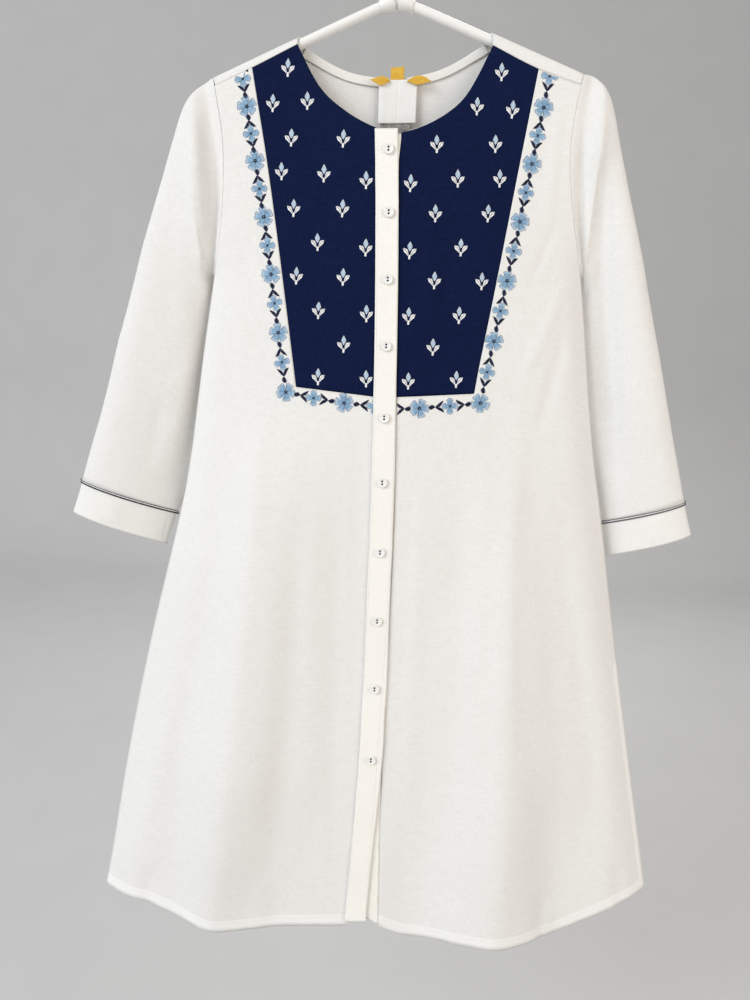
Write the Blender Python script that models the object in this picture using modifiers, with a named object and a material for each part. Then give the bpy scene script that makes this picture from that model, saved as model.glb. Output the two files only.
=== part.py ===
"""Kurta tunic on a hanger: cut cloth panels, cuffs, plackets, labels, buttons and hanger.

Metres, +Z up.  The hook's inner top is the origin, the front faces -Y and the
wearer's left side is +X.  "Out" is the distance from the plumb line through the
hook toward either side seam.
"""
import math
from collections import namedtuple

import bmesh
import bpy
from mathutils import Vector
from mathutils.geometry import interpolate_bezier

# ---- driving sizes --------------------------------------------------------
CLOTH = 0.0012            # wall of the main cloth and the navy yoke
DOUBLE = 0.0018           # wall of cuffs and plackets, which are folded double
TAPE = 0.0010             # wall of bands, labels and trims
SEAM = 0.0003             # gap left at every seam and between layers
ARMHOLE_SEAM = 0.0005     # gap round the armhole, where the walls meet at a slant
TILT = 0.030              # rise per metre toward the wearer's left, as the hanger hangs
SHOULDER_TILT = 0.020     # how much steeper that rise is up at the hanger arms
SHOULDER_LEVELS = (-0.245, -0.167)   # the steeper rise comes in between these heights

TUBE_RADIUS = 0.0052      # hanger tube
ARM_SLOPE = 0.42          # fall of the hanger arm per metre out
ARM_TOP_Z = -0.0911       # height of the tube centre line at the middle
ARM_REACH = 0.179         # how far out the arms go
ARM_BOW = 0.008           # rounds the hanger arms where they meet
HUB_RADIUS = 0.0072
HUB_HEIGHT = 0.006
HUB_TAPER = 0.003
HOOK_RADIUS = 0.024       # inside radius of the hook
HOOK_TUBE = 0.0040
HOOK_START = -62.0        # degrees round the hook's centre where the stem joins it
HOOK_SWEEP = 245.0
HOOK_NECK = 0.016         # height of the bend between the stem and the hook

RIDGE_RADIUS = TUBE_RADIUS + SEAM + CLOTH
RIDGE_DROP = 0.013        # fall from the shoulder ridge to the back's shoulder line
CHEST_Z = -0.353          # underarm level
PROFILE_POWER = 0.40      # how round the body section is
RIDGE_SOFT = 0.030        # softens the ridge line where it passes the middle
FOLD_FOOT_Z = -1.09       # where the folds reach their full height, at the hem
FOLD_SIDE_FADE = 1.4      # how quickly a fold fades toward a side seam
SIDE_HALF = CLOTH + SEAM / 2   # half of the two walls that meet at a side seam

YOKE_FOOT_LEVEL = -0.473  # where the yoke's side edge ends
YOKE_FOOT_Z = -0.4812     # yoke lower edge at the middle
YOKE_FOOT_RISE = {-1: 0.120, 1: 0.047}
SKIRT_SPREAD = 0.055      # how the line below the yoke's side edge leans out

PLACKET_WIDTH = 0.0245
PLACKET_TOP_Z = -0.2190
PLACKET_FOOT_Z = -1.0775
UNDER_FOOT_Z = (-1.0600, -1.0830)   # inner and outer corner of the under placket
PLACKET_LAP = 0.004       # how far a front runs in under the outer placket
UNDER_TOP_DROP = 0.0015   # how much lower the under placket starts

BUTTON_RADIUS = 0.0054
BUTTON_HEIGHT = 0.0026
BUTTON_SEGMENTS = 16
BUTTON_HOLE_RADIUS = 0.0008
BUTTON_HOLE_APART = 0.0026

NECK_BAND = 0.0085        # depth of the inside neck band
BAND_PEEK = 0.0009        # how far the front band shows past the neckline
BAND_END_CLEAR = 0.0009   # stops a band just short of the shoulder corner
BAND_PROBE = 0.001        # step along a neckline that gives its direction
CUFF_TRIM_WIDTH = 0.0036
CUFF_DEPTH = 0.036        # height of a cuff, the last step between sleeve rings

# ---- tables ---------------------------------------------------------------
# Outer edge of the body: armhole down to the underarm, then the side seam.
# half: half of the body width, wide: half width that rounds the section,
# shift: how far the middle sits toward the wearer's left.
Outline = namedtuple("Outline", "z half wide shift")
OUTLINE = (
    Outline(-0.140, 0.1860, 0.4200, 0.0040),
    Outline(-0.175, 0.1825, 0.3400, 0.0045),
    Outline(-0.190, 0.1798, 0.3000, 0.0048),
    Outline(-0.205, 0.1768, 0.2700, 0.0050),
    Outline(-0.240, 0.1745, 0.2330, 0.0055),
    Outline(-0.280, 0.1772, 0.2100, 0.0075),
    Outline(-0.312, 0.1818, 0.1990, 0.0092),
    Outline(-0.336, 0.1862, 0.1945, 0.0100),
    Outline(-0.353, 0.1903, 0.1905, 0.0105),
    Outline(-0.390, 0.1965, 0.1965, 0.0108),
    Outline(-0.460, 0.2063, 0.2063, 0.0108),
    Outline(-0.545, 0.2182, 0.2182, 0.0120),
    Outline(-0.600, 0.2290, 0.2290, 0.0128),
    Outline(-0.660, 0.2420, 0.2420, 0.0110),
    Outline(-0.775, 0.2665, 0.2665, 0.0084),
    Outline(-0.900, 0.2915, 0.2915, 0.0085),
    Outline(-1.020, 0.3140, 0.3140, 0.0105),
    Outline(-1.100, 0.3300, 0.3300, 0.0105),
)

# How far the front and back stand off the hanging plane, by drop below the ridge.
Depth = namedtuple("Depth", "drop front back middle")
DEPTH = (
    Depth(0.000, 0.0072, 0.0072, 0.0000),
    Depth(0.017, 0.0085, 0.0085, 0.0000),
    Depth(0.050, 0.0112, 0.0110, 0.0000),
    Depth(0.100, 0.0155, 0.0145, 0.0000),
    Depth(0.200, 0.0230, 0.0190, -0.0005),
    Depth(0.350, 0.0290, 0.0240, -0.0020),
    Depth(0.550, 0.0330, 0.0290, -0.0045),
    Depth(0.750, 0.0360, 0.0330, -0.0075),
    Depth(1.010, 0.0390, 0.0370, -0.0100),
)

# Front neckline and shoulder seam as one edge, out from the middle, with its
# height on the wearer's right and left.
FrontEdge = namedtuple("FrontEdge", "out right left")
NECKLINE = (
    FrontEdge(0.0000, -0.2205, -0.2205),
    FrontEdge(0.0180, -0.2165, -0.2165),
    FrontEdge(0.0350, -0.2095, -0.2095),
    FrontEdge(0.0595, -0.1940, -0.1940),
    FrontEdge(0.0825, -0.1715, -0.1723),
    FrontEdge(0.0928, -0.1510, -0.1540),
    FrontEdge(0.0966, -0.1333, -0.1382),
)
SHOULDER_SEAM = (
    FrontEdge(0.0966, -0.1333, -0.1382),
    FrontEdge(0.1420, -0.1542, -0.1605),
    FrontEdge(0.1850, -0.1725, -0.1755),
)

# Side edge of each yoke, out from the plumb line.
YokeEdge = namedtuple("YokeEdge", "z right left")
YOKE_EDGE = (
    YokeEdge(-0.162, 0.1400, 0.1430),
    YokeEdge(-0.245, 0.1251, 0.1298),
    YokeEdge(-0.316, 0.1137, 0.1190),
    YokeEdge(-0.391, 0.1023, 0.1076),
    YokeEdge(-0.473, 0.0905, 0.0941),
)
Edge = namedtuple("Edge", "out z")
BACK_NECKLINE = (
    Edge(0.0000, -0.1610),
    Edge(0.0300, -0.1580),
    Edge(0.0500, -0.1530),
    Edge(0.0700, -0.1435),
    Edge(0.0870, -0.1333),
)

# Neck edge and armhole edge of the back's shoulder flap, back to front.
FlapEnd = namedtuple("FlapEnd", "step neck arm")
FLAP_ENDS = (
    FlapEnd(0.0, 0.0870, 0.1825),
    FlapEnd(0.5, 0.0955, 0.1870),
    FlapEnd(1.0, 0.0966, 0.1826),
)

# Hem, from the wearer's right side seam to the left one.
Hem = namedtuple("Hem", "x front back")
HEM = (
    Hem(-0.330, -1.0560, -1.0560),
    Hem(-0.313, -1.0595, -1.0595),
    Hem(-0.270, -1.0655, -1.0670),
    Hem(-0.230, -1.0770, -1.0790),
    Hem(-0.190, -1.0870, -1.0890),
    Hem(-0.150, -1.0895, -1.0950),
    Hem(-0.100, -1.0860, -1.0975),
    Hem(-0.040, -1.0840, -1.0990),
    Hem(0.000, -1.0830, -1.0990),
    Hem(0.014, -1.0840, -1.0990),
    Hem(0.040, -1.0970, -1.0990),
    Hem(0.110, -1.0990, -1.0990),
    Hem(0.180, -1.1010, -1.0970),
    Hem(0.216, -1.1000, -1.0920),
    Hem(0.240, -1.0900, -1.0870),
    Hem(0.270, -1.0790, -1.0770),
    Hem(0.300, -1.0680, -1.0670),
    Hem(0.350, -1.0560, -1.0560),
)

# Soft folds: a ridge stands out from the cloth, a trough (negative) goes in.
Fold = namedtuple("Fold", "top_x top_z foot_x width height")
FRONT_FOLDS = (
    Fold(-0.104, -0.50, -0.172, 0.034, 0.012),
    Fold(-0.180, -0.78, -0.250, 0.017, -0.006),
    Fold(0.124, -0.58, 0.147, 0.050, 0.021),
    Fold(0.165, -0.80, 0.222, 0.016, -0.006),
    Fold(0.060, -0.72, 0.052, 0.026, -0.004),
)
BACK_FOLDS = (
    Fold(-0.110, -0.46, -0.165, 0.036, 0.013),
    Fold(0.010, -0.62, 0.004, 0.040, 0.009),
    Fold(0.112, -0.50, 0.160, 0.036, 0.015),
    Fold(-0.060, -0.70, -0.082, 0.026, -0.006),
    Fold(0.062, -0.66, 0.084, 0.026, -0.006),
)

# Middle of the outer placket and the outer edge of the under placket.
Placket = namedtuple("Placket", "z middle under")
PLACKETS = (
    Placket(-0.200, -0.0050, 0.0088),
    Placket(-0.240, -0.0038, 0.0092),
    Placket(-0.335, -0.0005, 0.0125),
    Placket(-0.450, 0.0020, 0.0150),
    Placket(-0.590, 0.0030, 0.0162),
    Placket(-0.735, 0.0015, 0.0160),
    Placket(-0.840, -0.0017, 0.0155),
    Placket(-0.935, -0.0052, 0.0150),
    Placket(-1.010, -0.0085, 0.0152),
    Placket(-1.075, -0.0112, 0.0156),
)

# Button middles, from the neck down.
Button = namedtuple("Button", "x z")
BUTTONS = (
    Button(-0.0032, -0.2360),
    Button(-0.0008, -0.2968),
    Button(0.0006, -0.3622),
    Button(0.0013, -0.4285),
    Button(0.0018, -0.5014),
    Button(0.0021, -0.5690),
    Button(0.0024, -0.6435),
    Button(0.0019, -0.7190),
    Button(0.0016, -0.7956),
    Button(0.0003, -0.8780),
)

# Rings of the sleeve from the armhole to the cuff.  outer/inner: the two folded
# edges, bow: how far the ring bends toward the body, front/back: half depths,
# swing: how far back the inner edge lies.
Ring = namedtuple("Ring", "outer_x outer_z inner_x inner_z bow front back swing")
SLEEVE = (
    Ring(0.1870, -0.1625, 0.1903, -0.3530, 0.012, 0.0120, 0.0120, 0.0000),
    Ring(0.1948, -0.1655, 0.1935, -0.3575, 0.009, 0.0085, 0.0125, 0.0030),
    Ring(0.2040, -0.1718, 0.1955, -0.3660, 0.001, 0.0195, 0.0135, 0.0070),
    Ring(0.2125, -0.1812, 0.1970, -0.3820, 0.000, 0.0195, 0.0150, 0.0115),
    Ring(0.2197, -0.1975, 0.1982, -0.4100, 0.000, 0.0190, 0.0165, 0.0160),
    Ring(0.2292, -0.2305, 0.1990, -0.4450, 0.000, 0.0185, 0.0175, 0.0190),
    Ring(0.2490, -0.2950, 0.2010, -0.4850, 0.000, 0.0185, 0.0180, 0.0205),
    Ring(0.2750, -0.3820, 0.2068, -0.5300, 0.000, 0.0185, 0.0180, 0.0205),
    Ring(0.2985, -0.4710, 0.2165, -0.5720, 0.000, 0.0180, 0.0175, 0.0190),
    Ring(0.3190, -0.5430, 0.2275, -0.5990, 0.000, 0.0165, 0.0160, 0.0160),
    Ring(0.3304, -0.5854, 0.2346, -0.6142, 0.000, 0.0150, 0.0145, 0.0130),
    Ring(0.3415, -0.6204, 0.2466, -0.6505, 0.000, 0.0160, 0.0155, 0.0110),
)
TRIM_RING = 10            # ring where the sleeve meets the cuff
SLEEVE_SHIFT = (0.0047, 0.0108)   # shift of the outer and the inner fold
INNER_FLAT = 0.55         # how much flatter the front of the sleeve is at its inner fold
SLEEVE_STEPS = 17
CUFF_STEPS = 3

# Pieces hung inside the back neck, from the cloth inward: layer 1 lies on the cloth.
Label = namedtuple("Label", "name layer left right top foot point")
LABELS = (
    Label("neck_label", 2, -0.0240, 0.0380, -0.1585, -0.1690, 0.006),
    Label("label_loop", 3, -0.0034, 0.0102, -0.1490, -0.1680, 0.0),
    Label("care_label", 4, -0.0125, 0.0195, -0.1650, -0.2230, 0.0),
    Label("size_strip", 5, -0.0162, 0.0252, -0.1625, -0.2040, 0.0),
)

LABEL_TAPER = 0.62        # share of a label's depth taken off at a pointed end

# Grid counts.
FRONT_NECK_COLS = 5
FRONT_SHOULDER_COLS = 3
FRONT_SIDE_COLS = 7
NECK_SHIFT = 0.006        # how far the front neckline's curve sits to the wearer's left
CHEST_SHARES = (0.0, 0.11, 0.22, 0.33, 0.44, 0.56, 0.67, 0.78, 0.89, 0.96)
ROWS_YOKE = 4
ROWS_SKIRT = 14
ROWS_BACK_SKIRT = 15
BACK_MIDDLE_COLS = 10
BACK_SIDE_COLS = 5
NECK_STEPS = 5
PLACKET_ROWS = 26
FRONT_BAND_COLS = 9
BACK_BAND_COLS = 16
HOOK_STEPS = 15
RIDGE_ANGLES = (-90.0, -58.0, -28.0, 0.0, 28.0, 52.0, 76.0)
FLAP_LEAN = 0.0002        # clears the slanted end of the shoulder flap from the seam
SIDE_NAMES = {-1: "right", 1: "left"}   # the wearer's


# ---- reading the tables ---------------------------------------------------
def along(table, key, at, column):
    """Smooth reading of one column of a table at a place between its rows."""
    places = [getattr(row, key) for row in table]
    values = [getattr(row, column) for row in table]
    if places[0] > places[-1]:
        places = places[::-1]
        values = values[::-1]
    last = len(places) - 1
    if at <= places[0]:
        return values[0]
    if at >= places[last]:
        return values[last]
    i = 0
    while places[i + 1] < at:
        i += 1
    span = places[i + 1] - places[i]
    slopes = []
    for k in (i, i + 1):
        before = max(k - 1, 0)
        after = min(k + 1, last)
        slopes.append((values[after] - values[before]) / (places[after] - places[before]))
    t = (at - places[i]) / span
    rise = values[i + 1] - values[i]
    first = slopes[0] * span
    second = slopes[1] * span
    return (values[i] + first * t + (3 * rise - 2 * first - second) * t * t
            + (first + second - 2 * rise) * t * t * t)


def mix(a, b, t):
    return a + (b - a) * t


def smooth(t):
    t = min(max(t, 0.0), 1.0)
    return t * t * (3.0 - 2.0 * t)


# ---- the body's form ------------------------------------------------------
def ridge_z(out):
    """Top of the cloth where it hangs over the hanger arm."""
    lift = RIDGE_RADIUS * math.hypot(1.0, ARM_SLOPE)
    return ARM_TOP_Z + lift - ARM_SLOPE * abs(out)


def section(x, z):
    """Share of full depth at x, and the drop below the softened ridge."""
    wide = along(OUTLINE, "z", z, "wide")
    shift = along(OUTLINE, "z", z, "shift")
    across = min(abs((x - shift) / wide), 1.0)
    share = (1.0 - across * across) ** PROFILE_POWER
    drop = ridge_z(math.hypot(x, RIDGE_SOFT)) - z
    return share, drop


def fold_height(folds, x, z, share):
    total = 0.0
    for fold in folds:
        reach = (fold.top_z - z) / (fold.top_z - FOLD_FOOT_Z)
        middle = mix(fold.top_x, fold.foot_x, reach)
        across = (x - middle) / fold.width
        total += fold.height * smooth(reach) * math.exp(-across * across)
    return total * min(1.0, share * FOLD_SIDE_FADE)


def front_y(x, z):
    share, drop = section(x, z)
    depth = mix(SIDE_HALF, along(DEPTH, "drop", drop, "front"), share)
    depth += fold_height(FRONT_FOLDS, x, z, share)
    return along(DEPTH, "drop", drop, "middle") - depth


def back_y(x, z):
    share, drop = section(x, z)
    depth = mix(SIDE_HALF, along(DEPTH, "drop", drop, "back"), share)
    depth += fold_height(BACK_FOLDS, x, z, share)
    return along(DEPTH, "drop", drop, "middle") + depth


def tilt_at(z):
    low, high = SHOULDER_LEVELS
    return TILT + SHOULDER_TILT * smooth((z - low) / (high - low))


def hung(x, y, z):
    """A point of the levelled form, tilted as the hanger hangs."""
    return Vector((x, y, z + tilt_at(z) * x))


def on_front(x, z, lift=0.0):
    return hung(x, front_y(x, z) - lift, z)


def on_back(x, z, lift=0.0):
    return hung(x, back_y(x, z) + lift, z)


def body_edge(side, z):
    return along(OUTLINE, "z", z, "half") + side * along(OUTLINE, "z", z, "shift")


def yoke_edge(side, z):
    """Side edge of a yoke, carried on down the front and up to the shoulder seam."""
    column = SIDE_NAMES[side]
    top = YOKE_EDGE[0]
    under = YOKE_EDGE[1]
    foot = YOKE_EDGE[-1]
    if z < foot.z:
        return getattr(foot, column) - SKIRT_SPREAD * (z - foot.z)
    if z > top.z:
        rise = getattr(top, column) - getattr(under, column)
        return getattr(top, column) + rise / (top.z - under.z) * (z - top.z)
    return along(YOKE_EDGE, "z", z, column)


def front_edge(side, z):
    """Centre edge of a front, measured out from the plumb line."""
    if side < 0:
        middle = along(PLACKETS, "z", z, "middle")
        return PLACKET_WIDTH / 2 - middle - PLACKET_LAP
    return along(PLACKETS, "z", z, "under") + SEAM


def top_edge(side, out):
    """Height of the neckline or the shoulder seam at a distance out."""
    column = SIDE_NAMES[side]
    end = NECKLINE[-1].out
    if out < end:
        near = out - side * NECK_SHIFT * smooth((end - out) / 0.03)
        return along(NECKLINE, "out", near, column)
    return along(SHOULDER_SEAM, "out", out, column)


# ---- fronts and yokes -----------------------------------------------------
def front_column(side, share, z, shift):
    """Out at height z of a column: share 0 centre, 1 yoke edge, 2 side."""
    yoke = yoke_edge(side, z) + shift
    if share <= 1.0:
        return mix(front_edge(side, z), yoke, share)
    return mix(yoke, body_edge(side, z), share - 1.0)


def column_top(side, share, shift):
    """Height where a column meets the neckline or shoulder seam."""
    low = -0.235
    high = -0.130
    for _ in range(40):
        z = (low + high) / 2
        if z < top_edge(side, front_column(side, share, z, shift)):
            low = z
        else:
            high = z
    return low


def yoke_foot(side, out):
    return YOKE_FOOT_Z + YOKE_FOOT_RISE[side] * out


def front_grid(side, shift, foot_shift):
    """Columns of points over a whole front, and the shares and row kinds."""
    neck = NECKLINE[-1].out
    neck_z = getattr(NECKLINE[-1], SIDE_NAMES[side])
    near = front_column(side, 0.0, neck_z, shift)
    neck_share = (neck - near) / (front_column(side, 1.0, neck_z, shift) - near)
    shares = [neck_share * i / FRONT_NECK_COLS for i in range(FRONT_NECK_COLS)]
    shares += [mix(neck_share, 1.0, i / FRONT_SHOULDER_COLS) for i in range(FRONT_SHOULDER_COLS)]
    shares += [1.0 + i / FRONT_SIDE_COLS for i in range(FRONT_SIDE_COLS + 1)]
    columns = []
    for share in shares:
        top = column_top(side, share, shift)
        heights = [mix(top, CHEST_Z, down) for down in CHEST_SHARES]
        foot = yoke_foot(side, front_column(side, share, YOKE_FOOT_LEVEL, shift)) + foot_shift
        heights += [mix(CHEST_Z, foot, i / ROWS_YOKE) for i in range(ROWS_YOKE)]
        low = -1.08
        for _ in range(6):
            low = along(HEM, "x", side * front_column(side, share, low, shift), "front")
        heights += [mix(foot, low, i / ROWS_SKIRT) for i in range(ROWS_SKIRT + 1)]
        column = []
        for z in heights:
            x = side * front_column(side, share, z, shift)
            column.append(on_front(x, z))
        columns.append(column)
    return columns


def build_front(name, side, material):
    inner_cols = FRONT_NECK_COLS + FRONT_SHOULDER_COLS
    yoke_rows = len(CHEST_SHARES) + ROWS_YOKE
    columns = front_grid(side, SEAM / 2, -SEAM / 2)

    def keep(i, j):
        return i >= inner_cols or j >= yoke_rows

    return cloth(name, columns, keep, CLOTH, material, flip=side > 0)


def build_yoke(name, side, material):
    inner_cols = FRONT_NECK_COLS + FRONT_SHOULDER_COLS
    yoke_rows = len(CHEST_SHARES) + ROWS_YOKE
    columns = front_grid(side, -SEAM / 2, SEAM / 2)
    columns = [column[:yoke_rows + 1] for column in columns[:inner_cols + 1]]
    return cloth(name, columns, None, CLOTH, material, flip=side > 0)


# ---- the back, carried over the shoulders ---------------------------------
def back_corner(z):
    """Column through the corner where the back neck meets the shoulder."""
    return BACK_NECKLINE[-1].out + 0.030 * (BACK_NECKLINE[-1].z - z)


def back_columns():
    """Signed shares across the back: within 1 the middle, beyond it a side."""
    middle = [mix(-1.0, 1.0, i / BACK_MIDDLE_COLS) for i in range(BACK_MIDDLE_COLS + 1)]
    right = [-1.0 - i / BACK_SIDE_COLS for i in range(BACK_SIDE_COLS, 0, -1)]
    left = [1.0 + i / BACK_SIDE_COLS for i in range(1, BACK_SIDE_COLS + 1)]
    return right + middle + left


def back_x(share, z):
    side = math.copysign(1.0, share)
    if abs(share) <= 1.0:
        return back_corner(z) * share
    return side * mix(back_corner(z), body_edge(side, z), abs(share) - 1.0)


def back_top(share):
    top = BACK_NECKLINE[-1].z
    for _ in range(12):
        x = back_x(share, top)
        if abs(share) < 1.0:
            top = along(BACK_NECKLINE, "out", abs(x), "z")
        else:
            top = ridge_z(x) - RIDGE_DROP
    return top


def shoulder_place(side, share, step):
    """Place on the back's shoulder flap, from step 0 at the back to the last at the seam."""
    last = len(RIDGE_ANGLES) + 1
    t = step / last
    neck = along(FLAP_ENDS, "step", t, "neck")
    arm = along(FLAP_ENDS, "step", t, "arm") + side * OUTLINE[1].shift
    out = mix(neck, arm, share)
    x = side * out
    if step == 0:
        z = ridge_z(out) - RIDGE_DROP
        return x, back_y(x, z), z
    if step == last:
        z = top_edge(side, max(out, SHOULDER_SEAM[0].out)) + SEAM + FLAP_LEAN
        return x, front_y(x, z), z
    angle = math.radians(RIDGE_ANGLES[step - 1])
    lift = RIDGE_RADIUS * math.hypot(1.0, ARM_SLOPE)
    return x, -RIDGE_RADIUS * math.sin(angle), ridge_z(out) - lift + lift * math.cos(angle)


def build_back(material):
    shares = back_columns()
    last = len(RIDGE_ANGLES) + 1
    columns = []
    for share in shares:
        side = math.copysign(1.0, share)
        if abs(share) >= 1.0:
            column = [hung(*shoulder_place(side, abs(share) - 1.0, last - i)) for i in range(last)]
        else:
            column = [None] * last
        top = back_top(share)
        for down in CHEST_SHARES:
            z = mix(top, CHEST_Z, down)
            column.append(on_back(back_x(share, z), z))
        low = -1.08
        for _ in range(6):
            low = along(HEM, "x", back_x(share, low), "back")
        for i in range(ROWS_BACK_SKIRT + 1):
            z = mix(CHEST_Z, low, i / ROWS_BACK_SKIRT)
            column.append(on_back(back_x(share, z), z))
        columns.append(column)
    return cloth("back", columns, None, CLOTH, material, flip=False)


# ---- plackets and neck bands ----------------------------------------------
def build_placket(name, material):
    columns = []
    for share in (-0.5, 0.0, 0.5):
        column = []
        for i in range(PLACKET_ROWS + 1):
            z = mix(PLACKET_TOP_Z, PLACKET_FOOT_Z, i / PLACKET_ROWS)
            x = along(PLACKETS, "z", z, "middle") + share * PLACKET_WIDTH
            column.append(on_front(x, z, lift=SEAM + DOUBLE))
        columns.append(column)
    return cloth(name, columns, None, DOUBLE, material, flip=True)


def build_under_placket(name, material):
    columns = []
    for share in (0.0, 0.5, 1.0):
        column = []
        for i in range(PLACKET_ROWS + 1):
            z = mix(PLACKET_TOP_Z - UNDER_TOP_DROP, mix(UNDER_FOOT_Z[0], UNDER_FOOT_Z[1], share), i / PLACKET_ROWS)
            left = SEAM - front_edge(-1, z)
            x = mix(left, along(PLACKETS, "z", z, "under"), share)
            column.append(on_front(x, z))
        columns.append(column)
    return cloth(name, columns, None, DOUBLE, material, flip=True)


def build_front_band(name, side, material):
    """Inside band along a front neckline, showing a thin edge above the navy."""
    cols = FRONT_BAND_COLS
    start = front_edge(side, PLACKET_TOP_Z) + PLACKET_LAP
    columns = []
    for i in range(cols + 1):
        share = i / cols
        out = mix(start, NECKLINE[-1].out - BAND_END_CLEAR, math.sin(share * math.pi / 2))
        z = top_edge(side, out)
        probe = min(out + BAND_PROBE, NECKLINE[-1].out - BAND_END_CLEAR / 9)
        ahead = top_edge(side, probe) - top_edge(side, out - BAND_PROBE)
        lean = Vector((-ahead, probe - out + BAND_PROBE)).normalized()
        column = []
        for into in (-BAND_PEEK, NECK_BAND / 2, NECK_BAND):
            point_out = out - lean[0] * into
            point_z = z - lean[1] * into
            column.append(on_front(side * point_out, point_z, lift=-(CLOTH + SEAM)))
        columns.append(column)
    return cloth(name, columns, None, TAPE, material, flip=side > 0)


def build_back_band(name, material):
    cols = BACK_BAND_COLS
    reach = BACK_NECKLINE[-1].out - BAND_END_CLEAR
    columns = []
    for i in range(cols + 1):
        x = reach * math.sin(mix(-1.0, 1.0, i / cols) * math.pi / 2)
        z = along(BACK_NECKLINE, "out", abs(x), "z")
        near = along(BACK_NECKLINE, "out", abs(x) - BAND_PROBE, "z")
        far = along(BACK_NECKLINE, "out", min(abs(x) + BAND_PROBE, reach), "z")
        lean = Vector((-(far - near), 2 * BAND_PROBE)).normalized()
        column = []
        for into in (0.0, NECK_BAND / 2, NECK_BAND):
            out = abs(x) - lean[0] * into
            column.append(on_back(math.copysign(out, x), z - lean[1] * into, lift=-(CLOTH + SEAM)))
        columns.append(column)
    return cloth(name, columns, None, TAPE, material, flip=False)


def build_label(label, material):
    depth = CLOTH + SEAM + (label.layer - 1) * (TAPE + SEAM)
    cols = 6
    rows = 3
    half = (label.right - label.left) / 2
    columns = []
    for i in range(cols + 1):
        x = mix(label.left, label.right, i / cols)
        ends = max(0.0, abs(x - label.left - half) - (half - label.point)) if label.point else 0.0
        squeeze = 1.0 - LABEL_TAPER * (ends / label.point) ** 2 if label.point else 1.0
        middle = (label.top + label.foot) / 2
        column = []
        for j in range(rows + 1):
            z = mix(label.top, label.foot, j / rows)
            z = middle + (z - middle) * squeeze
            column.append(on_back(x, z, lift=-depth))
        columns.append(column)
    return cloth(label.name, columns, None, TAPE, material, flip=False)


# ---- sleeves, cuffs and trims ---------------------------------------------
def ring_value(at, column):
    rows = [(i, getattr(ring, column)) for i, ring in enumerate(SLEEVE)]
    table = [Edge(value, float(i)) for i, value in rows]
    return along(table, "z", at, "out")


def armhole(side):
    """Places round the armhole from the shoulder ridge down the front and up the back."""
    last = len(RIDGE_ANGLES) + 1
    ridge = last // 2
    front = [shoulder_place(side, 1.0, step) for step in range(ridge, last)]
    back = [shoulder_place(side, 1.0, step) for step in range(ridge - 1, -1, -1)]
    seam = column_top(side, 2.0, 0.0)
    for down in CHEST_SHARES:
        z = mix(seam, CHEST_Z, down)
        x = side * body_edge(side, z)
        front.append((x, front_y(x, z), z))
    top = back_top(side * 2.0)
    for down in CHEST_SHARES[1:]:
        z = mix(top, CHEST_Z, down)
        x = side * body_edge(side, z)
        back.append((x, back_y(x, z), z))
    underarm = (side * body_edge(side, CHEST_Z), 0.0, CHEST_Z)
    places = front + [underarm] + back[::-1]
    crest = front[0][2]
    ring = []
    for i, (x, y, z) in enumerate(places):
        share = min(max((crest - z) / (crest - CHEST_Z), 0.0), 1.0)
        angle = math.acos(1.0 - 2.0 * share)
        if i > len(front):
            angle = 2 * math.pi - angle
        ring.append((angle, (side * x, y, z)))
    return ring


def sleeve_point(side, at, spoke, lift=0.0):
    """A point round the sleeve at ring place `at`; angle 0 is at the outer fold."""
    angle, hole = spoke
    share = (1.0 - math.cos(angle)) / 2
    swell = math.sin(angle)
    ring = max(at, 1.0)
    outer_x = ring_value(ring, "outer_x")
    outer_z = ring_value(ring, "outer_z")
    inner_x = ring_value(ring, "inner_x")
    inner_z = ring_value(ring, "inner_z")
    out = mix(outer_x, inner_x, share) - ring_value(ring, "bow") * math.sin(share * math.pi)
    z = mix(outer_z, inner_z, share)
    half = ring_value(ring, "back")
    if swell > 0:
        half = ring_value(ring, "front") * (1.0 - INNER_FLAT * share * share)
    y = ring_value(ring, "swing") * share - swell * half
    span_x = inner_x - outer_x
    span_z = inner_z - outer_z
    length = math.hypot(span_x, span_z)
    away = lift * math.cos(angle)
    out -= away * span_x / length
    z -= away * span_z / length
    y -= lift * swell
    out += side * mix(SLEEVE_SHIFT[0], SLEEVE_SHIFT[1], share)
    if at < 1.0:
        out = mix(hole[0] + ARMHOLE_SEAM, out, at)
        y = mix(hole[1], y, smooth(at))
        z = mix(hole[2], z, at)
    tilt = tilt_at(z) - TILT * smooth(at / TRIM_RING)
    return Vector((side * out, y, z + tilt * side * out))


def tube_cloth(name, side, places, wall, material, lift=0.0):
    columns = [[sleeve_point(side, at, spoke, lift) for at in places] for spoke in armhole(side)]
    columns.append(columns[0])
    return cloth(name, columns, None, wall, material, flip=side < 0, closed=True)


def build_sleeve(name, side, material):
    last = TRIM_RING - SEAM / CUFF_DEPTH
    places = [0.0, 0.12, 0.4, 0.7, 1.0, 1.5, 2.0, 2.4]
    left = SLEEVE_STEPS - len(places) + 1
    places += [mix(2.4, last, i / left) for i in range(1, left + 1)]
    return tube_cloth(name, side, places, CLOTH, material)


def build_cuff(name, side, material):
    places = [TRIM_RING + SEAM / CUFF_DEPTH]
    places += [mix(places[0], TRIM_RING + 1.0, i / CUFF_STEPS) for i in range(1, CUFF_STEPS + 1)]
    return tube_cloth(name, side, places, DOUBLE, material)


def build_trim(name, side, material):
    half = CUFF_TRIM_WIDTH / 2 / CUFF_DEPTH
    places = [TRIM_RING - half, TRIM_RING, TRIM_RING + half]
    return tube_cloth(name, side, places, TAPE, material, lift=2 * SEAM + TAPE)


# ---- buttons --------------------------------------------------------------
def button_seat(button):
    """Back of a button, just clear of the outer placket all round."""
    x, z = button
    rim = [front_y(x, z + step * BUTTON_RADIUS) for step in (-1, 0, 1)]
    return hung(x, min(rim) - (SEAM + DOUBLE) - SEAM, z)


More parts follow.
